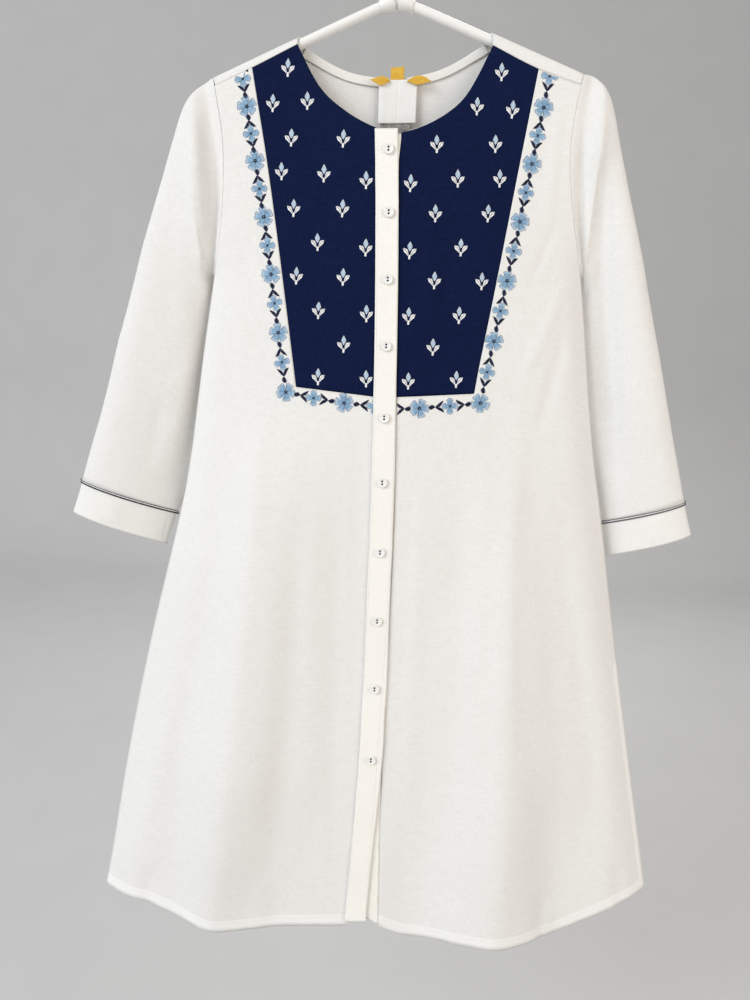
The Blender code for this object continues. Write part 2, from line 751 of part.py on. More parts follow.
def build_button(name, button, cutter, material):
    """Turned disc with a raised rim and two sewing holes."""
    profile = (
        (0.0, 0.62), (0.55, 0.66), (0.68, 0.94), (0.82, 1.0),
        (0.95, 0.86), (1.0, 0.55), (0.86, 0.0), (0.0, 0.0),
    )
    bm = bmesh.new()
    points = [bm.verts.new((r * BUTTON_RADIUS, 0.0, h * BUTTON_HEIGHT)) for r, h in profile]
    edges = [bm.edges.new((points[i], points[i + 1])) for i in range(len(points) - 1)]
    bmesh.ops.spin(bm, geom=points + edges, cent=(0, 0, 0), axis=(0, 0, 1),
                   angle=2 * math.pi, steps=BUTTON_SEGMENTS)
    bmesh.ops.remove_doubles(bm, verts=bm.verts, dist=0.00002)
    seat = button_seat(button)
    for vert in bm.verts:
        x, y, height = vert.co
        vert.co = seat + Vector((x, -height, y))
    disc = finish(name, bm, material)
    cut = disc.modifiers.new("holes", "BOOLEAN")
    cut.operation = "DIFFERENCE"
    cut.solver = "EXACT"
    cut.object = cutter
    return disc


def build_hole_cutter(collection):
    bm = bmesh.new()
    for button in BUTTONS:
        seat = button_seat(button)
        for step in (-0.5, 0.5):
            made = bmesh.ops.create_cone(bm, cap_ends=True, segments=8,
                                         radius1=BUTTON_HOLE_RADIUS, radius2=BUTTON_HOLE_RADIUS,
                                         depth=3 * BUTTON_HEIGHT)
            for vert in made["verts"]:
                x, y, height = vert.co
                vert.co = seat + Vector((x, -height, y + step * BUTTON_HOLE_APART))
    cutter = new_object("hole_cutter", bm, collection)
    cutter.hide_render = True
    cutter.display_type = "WIRE"
    return cutter


# ---- hanger ---------------------------------------------------------------
def tube_curve(name, points, radius, material, sides=2):
    curve = bpy.data.curves.new(name, "CURVE")
    curve.dimensions = "3D"
    curve.bevel_depth = radius
    curve.bevel_resolution = sides
    curve.use_fill_caps = True
    spline = curve.splines.new("POLY")
    spline.points.add(len(points) - 1)
    for spot, (point, share) in zip(spline.points, points):
        spot.co = (point.x, point.y, point.z, 1.0)
        spot.radius = share
    tube = bpy.data.objects.new(name, curve)
    PART.objects.link(tube)
    curve.materials.append(material)
    return tube


def build_arms(material):
    """One bowed tube with rounded ends, thicker at the hub."""
    half_steps = 13
    points = []
    for i in range(-half_steps, half_steps + 1):
        out = ARM_REACH * abs(i) / half_steps
        x = math.copysign(out, i)
        z = ARM_TOP_Z - ARM_SLOPE * math.hypot(out, ARM_BOW)
        points.append((hung(x, 0.0, z), 1.0))
    for end in (0, -1):
        point, _ = points[end]
        points[end] = (point, 0.55)
    return tube_curve("hanger_arms", points, TUBE_RADIUS, material, sides=3)


def build_hook(material):
    """Plain hook standing on the hub."""
    foot = ARM_TOP_Z - ARM_SLOPE * ARM_BOW + TUBE_RADIUS + SEAM
    bend = HOOK_RADIUS + HOOK_TUBE
    hub = HUB_RADIUS / HOOK_TUBE

    def on_hook(degrees):
        turn = math.radians(degrees)
        return Vector((bend * math.cos(turn), 0.0, bend * math.sin(turn) - HOOK_RADIUS))

    join = on_hook(HOOK_START)
    stem = Vector((0.0, 0.0, join.z - HOOK_NECK))
    turn = math.radians(HOOK_START)
    run_in = Vector((-math.sin(turn), 0.0, math.cos(turn))) * HOOK_NECK / 2
    pulls = (stem, stem + Vector((0.0, 0.0, HOOK_NECK / 2)), join - run_in, join)
    points = [(Vector((0.0, 0.0, foot)), hub), (Vector((0.0, 0.0, foot + HUB_HEIGHT)), hub)]
    points.append((Vector((0.0, 0.0, foot + HUB_HEIGHT + HUB_TAPER)), 1.0))
    neck = interpolate_bezier(*pulls, NECK_STEPS)
    points += [(point, 1.0) for point in neck[:-1]]
    for i in range(HOOK_STEPS + 1):
        points.append((on_hook(HOOK_START + HOOK_SWEEP * i / HOOK_STEPS), 1.0))
    return tube_curve("hanger_hook", points, HOOK_TUBE, material, sides=2)


# ---- making solids --------------------------------------------------------
def new_object(name, bm, collection):
    mesh = bpy.data.meshes.new(name)
    bm.to_mesh(mesh)
    bm.free()
    made = bpy.data.objects.new(name, mesh)
    collection.objects.link(made)
    return made


def finish(name, bm, material):
    bmesh.ops.recalc_face_normals(bm, faces=bm.faces)
    for face in bm.faces:
        face.smooth = True
    made = new_object(name, bm, PART)
    made.data.materials.append(material)
    return made


def cloth(name, columns, keep, wall, material, flip, closed=False):
    """Sheet over a grid of points, given its wall inward from those points."""
    bm = bmesh.new()
    verts = {}
    count = len(columns)

    def corner(i, j):
        if closed and i == count - 1:
            i = 0
        if (i, j) not in verts:
            verts[(i, j)] = bm.verts.new(columns[i][j])
        return verts[(i, j)]

    for i in range(count - 1):
        for j in range(len(columns[i]) - 1):
            spots = (columns[i][j], columns[i + 1][j], columns[i + 1][j + 1], columns[i][j + 1])
            if None in spots or (keep and not keep(i, j)):
                continue
            quad = [corner(i, j), corner(i + 1, j), corner(i + 1, j + 1), corner(i, j + 1)]
            if flip:
                quad.reverse()
            face = bm.faces.new(quad)
            face.smooth = True
    sheet = new_object(name, bm, PART)
    sheet.data.materials.append(material)
    shell = sheet.modifiers.new("wall", "SOLIDIFY")
    shell.thickness = wall
    shell.offset = -1.0
    shell.use_even_offset = False
    shell.use_rim = True
    return sheet


def principled(name, colour, roughness, metallic=0.0):
    material = bpy.data.materials.new(name)
    material.use_nodes = True
    shader = material.node_tree.nodes["Principled BSDF"]
    shader.inputs["Base Color"].default_value = (*colour, 1.0)
    shader.inputs["Roughness"].default_value = roughness
    shader.inputs["Metallic"].default_value = metallic
    material.diffuse_color = (*colour, 1.0)
    return material


# ---- build ----------------------------------------------------------------
for old in list(bpy.data.objects):
    bpy.data.objects.remove(old, do_unlink=True)

PART = bpy.data.collections.new("kurta_tunic")
bpy.context.scene.collection.children.link(PART)
CUTTERS = bpy.data.collections.new("cutters")
bpy.context.scene.collection.children.link(CUTTERS)

off_white = principled("off_white_cloth", (0.84, 0.83, 0.79), 0.85)
cream = principled("cream_placket_cloth", (0.88, 0.86, 0.80), 0.82)
navy = principled("navy_yoke_cloth", (0.010, 0.020, 0.075), 0.80)
navy_trim = principled("navy_trim_cord", (0.030, 0.045, 0.130), 0.75)
yellow = principled("yellow_label_tape", (0.76, 0.46, 0.06), 0.70)
white_tape = principled("white_label_tape", (0.86, 0.85, 0.83), 0.65)
grey_tape = principled("grey_label_tape", (0.36, 0.35, 0.33), 0.70)
button_white = principled("white_button", (0.86, 0.85, 0.82), 0.35)
hanger_white = principled("white_hanger_plastic", (0.85, 0.84, 0.80), 0.30)

SIDES = (("right", -1), ("left", 1))
for word, side in SIDES:
    build_front("front_" + word, side, off_white)
    build_yoke("yoke_" + word, side, navy)
    build_sleeve("sleeve_" + word, side, off_white)
    build_cuff("cuff_" + word, side, off_white)
    build_trim("cuff_trim_" + word, side, navy_trim)
    build_front_band("neck_band_" + word, side, off_white)
build_back(off_white)
build_back_band("neck_band_back", off_white)
build_placket("placket_over", cream)
build_under_placket("placket_under", cream)

TAPES = {"neck_label": yellow, "label_loop": yellow, "care_label": grey_tape, "size_strip": white_tape}
for label in LABELS:
    build_label(label, TAPES[label.name])

hole_cutter = build_hole_cutter(CUTTERS)
for number, spot in enumerate(BUTTONS):
    build_button("button_%02d" % (number + 1), spot, hole_cutter, button_white)

build_arms(hanger_white)
build_hook(hanger_white)
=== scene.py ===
import math
from collections import namedtuple

import bmesh
import bpy
from mathutils import Matrix, Vector, noise
from mathutils.bvhtree import BVHTree
from mathutils.kdtree import KDTree


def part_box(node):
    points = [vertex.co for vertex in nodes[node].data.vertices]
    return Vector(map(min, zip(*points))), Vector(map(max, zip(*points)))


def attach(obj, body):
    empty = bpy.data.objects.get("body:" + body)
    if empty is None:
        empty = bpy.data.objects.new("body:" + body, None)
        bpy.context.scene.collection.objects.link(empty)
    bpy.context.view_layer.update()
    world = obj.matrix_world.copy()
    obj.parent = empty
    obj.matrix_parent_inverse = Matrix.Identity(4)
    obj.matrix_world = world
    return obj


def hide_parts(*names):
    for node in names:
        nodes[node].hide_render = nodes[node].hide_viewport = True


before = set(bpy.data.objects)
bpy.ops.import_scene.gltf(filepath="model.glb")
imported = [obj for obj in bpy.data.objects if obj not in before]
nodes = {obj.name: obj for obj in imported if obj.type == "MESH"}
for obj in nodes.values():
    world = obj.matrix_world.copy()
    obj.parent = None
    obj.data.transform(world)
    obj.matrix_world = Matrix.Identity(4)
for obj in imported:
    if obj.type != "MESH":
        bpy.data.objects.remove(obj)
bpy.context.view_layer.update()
scene = bpy.context.scene
print("frame loaded:", len(nodes), "nodes")

tilt = 0.030   # the garment hangs a little higher at the wearer's left
merge = 2e-6   # corners of the solids closer than this are one
hemTop = -1.02   # the lower edges lie below this


# small helpers

def soft(t):
    t = min(max(t, 0.0), 1.0)
    return t * t * (3.0 - 2.0 * t)


def between(rows, at):
    # reads a short table of (place, value) rows in rising order
    if at <= rows[0][0]:
        return rows[0][1]
    for (a, low), (b, high) in zip(rows, rows[1:]):
        if at <= b:
            return low + (high - low) * (at - a) / (b - a)
    return rows[-1][1]


def mixed(a, b, t):
    return a + (b - a) * t


def flicker(number):
    # an even, repeatable unevenness from -1 to 1
    return noise.noise(Vector((number * 0.731, number * 0.417 + 3.1, 0.37))) * 1.6


def treeOf(points):
    # a search tree for the nearest of some points
    tree = KDTree(len(points))
    for number, point in enumerate(points):
        tree.insert(point, number)
    tree.balance()
    return tree


def addNode(tree, kind, inputs=None, **settings):
    node = tree.nodes.new(kind)
    for name, value in settings.items():
        setattr(node, name, value)
    for name, value in (inputs or {}).items():
        node.inputs[name].default_value = value
    return node


def wire(tree, source, output, target, socket):
    tree.links.new(source.outputs[output], target.inputs[socket])


def mathNode(tree, operation, first, second=None, third=None):
    node = addNode(tree, "ShaderNodeMath", operation=operation)
    for place, value in enumerate((first, second, third)):
        if value is None:
            continue
        if isinstance(value, tuple):
            tree.links.new(value[0].outputs[value[1]], node.inputs[place])
        else:
            node.inputs[place].default_value = value
    return node


def blendNode(tree, low, high):
    # a mix of two colours, or of what is wired in where no colour is given
    node = addNode(tree, "ShaderNodeMix", data_type="RGBA")
    for name, colour in (("A", low), ("B", high)):
        if colour:
            node.inputs[name].default_value = (*colour, 1.0)
    return node


def newMaterial(name):
    material = bpy.data.materials.new(name)
    material.use_nodes = True
    tree = material.node_tree
    return material, tree, tree.nodes["Principled BSDF"]


def newGroup(name, inputs, outputs):
    group = bpy.data.node_groups.new(name, "ShaderNodeTree")
    for title, kind, value in inputs:
        socket = group.interface.new_socket(title, in_out="INPUT", socket_type=kind)
        if value is not None:
            socket.default_value = value
    for title, kind in outputs:
        group.interface.new_socket(title, in_out="OUTPUT", socket_type=kind)
    return group, group.nodes.new("NodeGroupInput"), group.nodes.new("NodeGroupOutput")


# shared shader groups

weaveForm = {"contrast": 1.6, "floor": -1.1, "threadShare": 0.22, "patchScale": 9.0}


def makeWeaveGroup():
    # crossed threads over and under each other, with thick slubs running both ways
    group, given, made = newGroup(
        "crossedThreads",
        [("Coordinates", "NodeSocketVector", None),
         ("Threads Per Metre", "NodeSocketFloat", 1500.0),
         ("Slub Width", "NodeSocketFloat", 420.0),
         ("Slub Length", "NodeSocketFloat", 34.0)],
        [("Height", "NodeSocketFloat"), ("Slubs", "NodeSocketFloat"), ("Patches", "NodeSocketFloat")])
    parts = addNode(group, "ShaderNodeSeparateXYZ")
    wire(group, given, "Coordinates", parts, "Vector")
    turn = mathNode(group, "MULTIPLY", (given, "Threads Per Metre"), math.pi)
    across = mathNode(group, "SINE", (mathNode(group, "MULTIPLY", (parts, "X"), (turn, 0)), 0))
    along = mathNode(group, "SINE", (mathNode(group, "MULTIPLY", (parts, "Y"), (turn, 0)), 0))
    over = mathNode(group, "MULTIPLY", (across, 0), (along, 0))
    streaks = []
    for first, second, shift in (("Slub Width", "Slub Length", 0.0), ("Slub Length", "Slub Width", 7.3)):
        place = addNode(group, "ShaderNodeCombineXYZ", {"Z": shift})
        stretchU = mathNode(group, "MULTIPLY", (parts, "X"), (given, first))
        stretchV = mathNode(group, "MULTIPLY", (parts, "Y"), (given, second))
        wire(group, stretchU, 0, place, "X")
        wire(group, stretchV, 0, place, "Y")
        streak = addNode(group, "ShaderNodeTexNoise", {"Scale": 1.0, "Detail": 2.0, "Roughness": 0.55})
        wire(group, place, "Vector", streak, "Vector")
        streaks.append(streak)
    slubs = mathNode(group, "ADD", (streaks[0], "Fac"), (streaks[1], "Fac"))
    slubs = mathNode(group, "MULTIPLY_ADD", (slubs, 0), weaveForm["contrast"], weaveForm["floor"])
    slubs.use_clamp = True
    patches = addNode(group, "ShaderNodeTexNoise",
                      {"Scale": weaveForm["patchScale"], "Detail": 3.0, "Roughness": 0.6})
    wire(group, given, "Coordinates", patches, "Vector")
    height = mathNode(group, "MULTIPLY_ADD", (over, 0), weaveForm["threadShare"], (slubs, 0))
    wire(group, height, 0, made, "Height")
    wire(group, slubs, 0, made, "Slubs")
    wire(group, patches, "Fac", made, "Patches")
    return group


foldedForm = {"edge": 0.0011, "doubleStep": 0.35}


def makeFoldedGroup():
    # where the cloth lies double behind a hem or a seam, and the sunk line of the seam itself
    group, given, made = newGroup(
        "foldedUnder",
        [("Hem Way", "NodeSocketFloat", 1.0), ("Hem Depth", "NodeSocketFloat", 0.011),
         ("Side Way", "NodeSocketFloat", 1.0), ("Side Depth", "NodeSocketFloat", 0.007),
         ("Seam Way", "NodeSocketFloat", 1.0), ("Seam Depth", "NodeSocketFloat", 0.0022)],
        [("Double", "NodeSocketFloat"), ("Step", "NodeSocketFloat")])
    masks = []
    for way, depth in (("Hem Way", "Hem Depth"), ("Side Way", "Side Depth")):
        inside = addNode(group, "ShaderNodeMapRange", {"To Min": 1.0, "To Max": 0.0},
                         interpolation_type="SMOOTHSTEP")
        start = mathNode(group, "SUBTRACT", (given, depth), foldedForm["edge"])
        wire(group, given, way, inside, "Value")
        wire(group, start, 0, inside, "From Min")
        wire(group, given, depth, inside, "From Max")
        masks.append(inside)
    double = mathNode(group, "MAXIMUM", (masks[0], "Result"), (masks[1], "Result"))
    sunk = addNode(group, "ShaderNodeMapRange", interpolation_type="SMOOTHSTEP")
    wire(group, given, "Seam Way", sunk, "Value")
    wire(group, given, "Seam Depth", sunk, "From Max")
    step = mathNode(group, "MULTIPLY_ADD", (double, 0), foldedForm["doubleStep"], (sunk, "Result"))
    wire(group, double, 0, made, "Double")
    wire(group, step, 0, made, "Step")
    return group


weaveGroup = makeWeaveGroup()
foldedGroup = makeFoldedGroup()


def readAttribute(tree, name):
    return addNode(tree, "ShaderNodeAttribute", attribute_name=name, attribute_type="GEOMETRY")


def makeClothMaterial(look):
    material, tree, surface = newMaterial(look["name"])
    surface.inputs["Roughness"].default_value = look["roughness"]
    surface.inputs["Sheen Weight"].default_value = look["sheen"]
    surface.inputs["Sheen Roughness"].default_value = look["sheenRoughness"]
    surface.inputs["Sheen Tint"].default_value = (*look["sheenTint"], 1.0)
    surface.inputs["Specular IOR Level"].default_value = look["specular"]
    weave = addNode(tree, "ShaderNodeGroup", node_tree=weaveGroup)
    weave.inputs["Threads Per Metre"].default_value = look["threads"]
    weave.inputs["Slub Width"].default_value = look["slubWidth"]
    weave.inputs["Slub Length"].default_value = look["slubLength"]
    place = addNode(tree, "ShaderNodeUVMap", uv_map="weave")
    wire(tree, place, "UV", weave, "Coordinates")
    thread = blendNode(tree, look["thin"], look["thick"])
    wire(tree, weave, "Slubs", thread, "Factor")
    patch = addNode(tree, "ShaderNodeMapRange", {"From Min": 0.3, "From Max": 0.7, "To Max": look["patches"]})
    wire(tree, weave, "Patches", patch, "Value")
    aged = blendNode(tree, None, look["warm"])
    wire(tree, patch, "Result", aged, "Factor")
    wire(tree, thread, "Result", aged, "A")
    folded = addNode(tree, "ShaderNodeGroup", node_tree=foldedGroup)
    for title, name in (("Hem Way", "hemWay"), ("Side Way", "sideWay"), ("Seam Way", "seamWay")):
        wire(tree, readAttribute(tree, name), "Fac", folded, title)
    folded.inputs["Hem Depth"].default_value = look["hem"]
    folded.inputs["Side Depth"].default_value = look["side"]
    folded.inputs["Seam Depth"].default_value = look["seam"]
    share = mathNode(tree, "MULTIPLY", (folded, "Double"), look["doubleShare"])
    double = blendNode(tree, None, look["double"])
    wire(tree, share, 0, double, "Factor")
    wire(tree, aged, "Result", double, "A")
    wire(tree, double, "Result", surface, "Base Color")
    threadBump = addNode(tree, "ShaderNodeBump", {"Strength": 1.0, "Distance": look["threadHeight"]})
    wire(tree, weave, "Height", threadBump, "Height")
    seamBump = addNode(tree, "ShaderNodeBump", {"Strength": 1.0, "Distance": look["seamHeight"]})
    wire(tree, folded, "Step", seamBump, "Height")
    wire(tree, threadBump, "Normal", seamBump, "Normal")
    wire(tree, seamBump, "Normal", surface, "Normal")
    return material


offWhiteLook = {
    "name": "offWhiteCotton", "roughness": 0.88, "sheen": 0.18, "sheenTint": (1.0, 0.99, 0.97),
    "sheenRoughness": 0.45, "specular": 0.25, "threads": 1500.0, "slubWidth": 700.0, "slubLength": 95.0,
    "thin": (0.735, 0.723, 0.699), "thick": (0.808, 0.799, 0.778), "warm": (0.738, 0.718, 0.686),
    "patches": 0.38, "double": (0.870, 0.862, 0.842), "doubleShare": 0.62,
    "hem": 0.0150, "side": 0.0090, "seam": 0.0016, "threadHeight": 0.00007, "seamHeight": 0.00022}
cuffLook = {
    **offWhiteLook, "name": "cuffCotton", "thin": (0.775, 0.765, 0.738), "thick": (0.830, 0.822, 0.798),
    "hem": 0.0, "side": 0.0, "doubleShare": 0.0}
placketLook = {
    **offWhiteLook, "name": "placketCotton", "thin": (0.850, 0.832, 0.785), "thick": (0.895, 0.878, 0.832),
    "warm": (0.820, 0.785, 0.720), "hem": 0.011, "side": 0.0, "doubleShare": 0.4, "threadHeight": 0.00012}
navyLook = {
    **offWhiteLook, "name": "navyCotton", "roughness": 0.85, "sheen": 0.01, "sheenTint": (0.35, 0.45, 0.85),
    "specular": 0.06, "thin": (0.0030, 0.0072, 0.0350), "thick": (0.0060, 0.0125, 0.0520),
    "warm": (0.0040, 0.0082, 0.0380), "double": (0.0080, 0.0150, 0.0600), "doubleShare": 0.0,
    "hem": 0.0, "side": 0.0, "threadHeight": 0.00012}
tapeLook = {
    **offWhiteLook, "name": "bandCotton", "thin": (0.790, 0.775, 0.735), "thick": (0.840, 0.828, 0.790),
    "hem": 0.0, "side": 0.0, "doubleShare": 0.0, "seam": 0.0010, "seamHeight": 0.0002}
stripLook = {
    **tapeLook, "name": "stripSatin", "roughness": 0.60, "sheen": 0.10, "thin": (0.800, 0.795, 0.780),
    "thick": (0.850, 0.845, 0.830), "threads": 2600.0, "slubWidth": 900.0, "slubLength": 40.0,
    "threadHeight": 0.00004}
yellowLook = {
    **tapeLook, "name": "yellowWovenTape", "roughness": 0.55, "sheenTint": (1.0, 0.85, 0.4),
    "thin": (0.600, 0.330, 0.030), "thick": (0.800, 0.520, 0.085), "warm": (0.560, 0.290, 0.020),
    "threads": 2000.0, "slubWidth": 1500.0, "slubLength": 120.0, "threadHeight": 0.00010}
greyLook = {
    **tapeLook, "name": "careLabelTape", "roughness": 0.70, "thin": (0.085, 0.078, 0.072),
    "thick": (0.480, 0.465, 0.445), "warm": (0.150, 0.140, 0.130), "threads": 2600.0,
    "slubWidth": 900.0, "slubLength": 260.0, "threadHeight": 0.00005}

cloth = {look["name"]: makeClothMaterial(look) for look in (
    offWhiteLook, cuffLook, placketLook, navyLook, tapeLook, stripLook, yellowLook, greyLook)}


threadTwist = {"scale": 2600.0, "share": 0.35, "strength": 0.6, "height": 0.0001}


def makeThreadMaterial(look):
    # twisted thread: two tones from strand to strand, a dull gloss along it
    material, tree, surface = newMaterial(look["name"])
    surface.inputs["Roughness"].default_value = look["roughness"]
    surface.inputs["Sheen Weight"].default_value = look["sheen"]
    surface.inputs["Specular IOR Level"].default_value = look["specular"]
    tone = readAttribute(tree, "threadTone")
    place = addNode(tree, "ShaderNodeTexCoord")
    twist = addNode(tree, "ShaderNodeTexNoise", {"Scale": threadTwist["scale"], "Detail": 1.0})
    wire(tree, place, "Object", twist, "Vector")
    tint = mathNode(tree, "MULTIPLY_ADD", (twist, "Fac"), threadTwist["share"], (tone, "Fac"))
    blend = blendNode(tree, look["dark"], look["light"])
    wire(tree, tint, 0, blend, "Factor")
    wire(tree, blend, "Result", surface, "Base Color")
    bump = addNode(tree, "ShaderNodeBump",
                   {"Strength": threadTwist["strength"], "Distance": threadTwist["height"]})
    wire(tree, twist, "Fac", bump, "Height")
    wire(tree, bump, "Normal", surface, "Normal")
    return material


threadLooks = [
    {"name": "flowerBlueThread", "roughness": 0.50, "sheen": 0.15, "specular": 0.40,
     "dark": (0.110, 0.235, 0.400), "light": (0.285, 0.450, 0.610)},
    {"name": "navyThread", "roughness": 0.65, "sheen": 0.0, "specular": 0.20,
     "dark": (0.004, 0.007, 0.026), "light": (0.014, 0.022, 0.070)},
    {"name": "whiteThread", "roughness": 0.55, "sheen": 0.20, "specular": 0.40,
     "dark": (0.700, 0.700, 0.700), "light": (0.860, 0.860, 0.860)},
    {"name": "budBlueThread", "roughness": 0.50, "sheen": 0.15, "specular": 0.40,
     "dark": (0.300, 0.440, 0.600), "light": (0.560, 0.690, 0.800)},
    {"name": "beadThread", "roughness": 0.70, "sheen": 0.0, "specular": 0.15,
     "dark": (0.002, 0.003, 0.012), "light": (0.008, 0.012, 0.040)},
    # also the strands in the button holes, where its dark colour is painted shade
    {"name": "navyLineAndHoleShadeThread", "roughness": 0.70, "sheen": 0.0, "specular": 0.15,
     "dark": (0.008, 0.012, 0.030), "light": (0.045, 0.050, 0.080)},
    {"name": "paleHatchThread", "roughness": 0.60, "sheen": 0.10, "specular": 0.30,
     "dark": (0.420, 0.430, 0.480), "light": (0.640, 0.645, 0.680)},
    {"name": "sewingThread", "roughness": 0.60, "sheen": 0.15, "specular": 0.30,
     "dark": (0.640, 0.625, 0.590), "light": (0.760, 0.745, 0.710)},
]
threads = {look["name"]: makeThreadMaterial(look) for look in threadLooks}


plasticGloss = {"spread": 0.05, "coatRoughness": 0.15}


def makePlasticMaterial(look):
    # moulded plastic: an even colour with a faint unevenness in its gloss
    material, tree, surface = newMaterial(look["name"])
    place = addNode(tree, "ShaderNodeTexCoord")
    cloudy = addNode(tree, "ShaderNodeTexNoise", {"Scale": look["cloudy"], "Detail": 3.0})
    wire(tree, place, "Object", cloudy, "Vector")
    tint = blendNode(tree, look["deep"], look["pale"])
    wire(tree, cloudy, "Fac", tint, "Factor")
    wire(tree, tint, "Result", surface, "Base Color")
    rough, spread = look["rough"], plasticGloss["spread"]
    gloss = addNode(tree, "ShaderNodeMapRange", {"To Min": rough - spread, "To Max": rough + spread})
    wire(tree, cloudy, "Fac", gloss, "Value")
    wire(tree, gloss, "Result", surface, "Roughness")
    surface.inputs["Coat Weight"].default_value = look["coat"]
    surface.inputs["Coat Roughness"].default_value = plasticGloss["coatRoughness"]
    return material


plasticLooks = [
    {"name": "buttonPlastic", "cloudy": 160.0, "deep": (0.800, 0.790, 0.760), "pale": (0.860, 0.852, 0.828),
     "rough": 0.34, "coat": 0.25},
    # near black: painted shade inside the button holes
    {"name": "buttonHolePaintedShade", "cloudy": 160.0, "deep": (0.020, 0.018, 0.016), "pale": (0.030, 0.027, 0.024),
     "rough": 0.80, "coat": 0.0},
    {"name": "hangerPlastic", "cloudy": 45.0, "deep": (0.830, 0.820, 0.790), "pale": (0.870, 0.862, 0.835),
     "rough": 0.30, "coat": 0.35},
]
plastics = {look["name"]: makePlasticMaterial(look) for look in plasticLooks}
print("materials made")


# cloth pieces: the outer skin of each solid, smoothed, folded and given a thin wall

def readNode(node):
    mesh = bmesh.new()
    mesh.from_mesh(nodes[node].data)
    bmesh.ops.remove_doubles(mesh, verts=mesh.verts, dist=merge)
    return mesh


# degrees: edges bent more part the skins, triangles bent less are joined, rims that open less are corners
skinCut = {"bend": 60, "joinFace": 40, "joinShape": 50, "corner": 150}


def takeSkin(node, bend, facing):
    # the faces of one side: the largest region inside sharp edges, or the one that faces the given way
    mesh = readNode(node)
    mesh.normal_update()
    left = set(mesh.faces)
    regions = []
    while left:
        region = [left.pop()]
        for face in region:
            for edge in face.edges:
                if len(edge.link_faces) == 2 and edge.calc_face_angle() < math.radians(bend):
                    for other in edge.link_faces:
                        if other in left:
                            left.remove(other)
                            region.append(other)
        regions.append(region)

    def size(region):
        return sum(face.calc_area() for face in region)

    def turnedTo(region):
        return sum(face.normal.dot(Vector(facing)) * face.calc_area() for face in region)

    largest = sorted(regions, key=size, reverse=True)
    keep = set(max(largest[:2], key=turnedTo) if facing else largest[0])
    bmesh.ops.delete(mesh, geom=[face for face in mesh.faces if face not in keep], context="FACES")
    bmesh.ops.join_triangles(mesh, faces=mesh.faces, angle_face_threshold=math.radians(skinCut["joinFace"]),
                             angle_shape_threshold=math.radians(skinCut["joinShape"]))
    corner = mesh.verts.layers.float.new("crease_vert")
    for vert in mesh.verts:
        rim = [edge.other_vert(vert).co - vert.co for edge in vert.link_edges if edge.is_boundary]
        if len(rim) == 2 and rim[0].angle(rim[1]) < math.radians(skinCut["corner"]):
            vert[corner] = 1.0
    return mesh


def meshPiece(name, mesh, material=None):
    data = bpy.data.meshes.new(name)
    mesh.to_mesh(data)
    mesh.free()
    piece = bpy.data.objects.new(name, data)
    scene.collection.objects.link(piece)
    if material:
        data.materials.append(material)
    return piece


def smoothSkin(name, mesh, levels):
    rough = meshPiece(name + "Rough", mesh)
    divide = rough.modifiers.new("smooth", "SUBSURF")
    divide.levels = levels
    divide.render_levels = levels
    divide.boundary_smooth = "PRESERVE_CORNERS"
    smooth = bpy.data.meshes.new_from_object(rough.evaluated_get(bpy.context.evaluated_depsgraph_get()))
    bpy.data.objects.remove(rough)
    mesh = bmesh.new()
    mesh.from_mesh(smooth)
    bpy.data.meshes.remove(smooth)
    mesh.normal_update()
    return mesh


def widenEdges(mesh, reach):
    # the cloth runs on to its neighbour, so that no seam shows as a slit
    moves = {}
    for edge in mesh.edges:
        if not edge.is_boundary:
            continue
        face = edge.link_faces[0]
        run = (edge.verts[1].co - edge.verts[0].co).normalized()
        away = run.cross(face.normal).normalized()
        middle = (edge.verts[0].co + edge.verts[1].co) / 2
        if away.dot(middle - face.calc_center_median()) < 0:
            away.negate()
        for vert in edge.verts:
            moves.setdefault(vert, []).append(away)
    for vert, ways in moves.items():
        way = sum(ways, Vector())
        if way.length > 0.5:
            vert.co += way.normalized() * reach


# a soft fold from its top to its foot; it bows sideways, fans out downward, and may start quickly
Fold = namedtuple("Fold", "top foot wide deep bow fan quick", defaults=(0.0, 0.0, 1.0))


def foldPush(folds, x, z):
    push = 0.0
    for fold in folds:
        runX, runZ = fold.foot[0] - fold.top[0], fold.foot[1] - fold.top[1]
        length = math.hypot(runX, runZ)
        offX, offZ = x - fold.top[0], z - fold.top[1]
        t = (offX * runX + offZ * runZ) / (length * length)
        if t <= 0.0 or t >= 1.0:
            continue
        off = (offX * runZ - offZ * runX) / length - fold.bow * math.sin(math.pi * t)
        wide = fold.wide * (1.0 + fold.fan * (t - 0.5))
        if abs(off) > 3.0 * wide:
            continue
        start = t * fold.quick
        ends = min(1.0, 3.2 * start, 3.2 * (1.0 - t)) * soft(min(start, 1.0 - t) * 5.0)
        push += fold.deep * math.exp(-(off / wide) ** 2) * ends
    return push


# small unevenness of pressed cloth, longer down than across: waves per metre across and down
rippleWaves = {"tall": (34.0, 9.0), "small": (90.0, 55.0), "smallShare": 0.35}


def ripple(x, z, depth, seed):
    (tallX, tallZ), (smallX, smallZ) = rippleWaves["tall"], rippleWaves["small"]
    tall = noise.noise(Vector((x * tallX, z * tallZ, seed)))
    small = noise.noise(Vector((x * smallX, z * smallZ, seed + 4.0)))
    return depth * (tall + rippleWaves["smallShare"] * small)


# half the body's width by height
bodyHalf = [(-1.120, 0.334), (-1.020, 0.314), (-0.900, 0.2915), (-0.775, 0.2665), (-0.660, 0.242),
            (-0.545, 0.2182), (-0.460, 0.2063), (-0.353, 0.1903), (-0.312, 0.1818), (-0.240, 0.1745),
            (-0.190, 0.1798), (-0.140, 0.186)]


sideHold = {"middle": 0.010, "still": 0.002, "ease": 0.030}


def sideFade(x, z):
    # nothing moves at the armhole and the side seam
    inward = between(bodyHalf, z - tilt * x) - abs(x - sideHold["middle"])
    return soft((inward - sideHold["still"]) / sideHold["ease"])


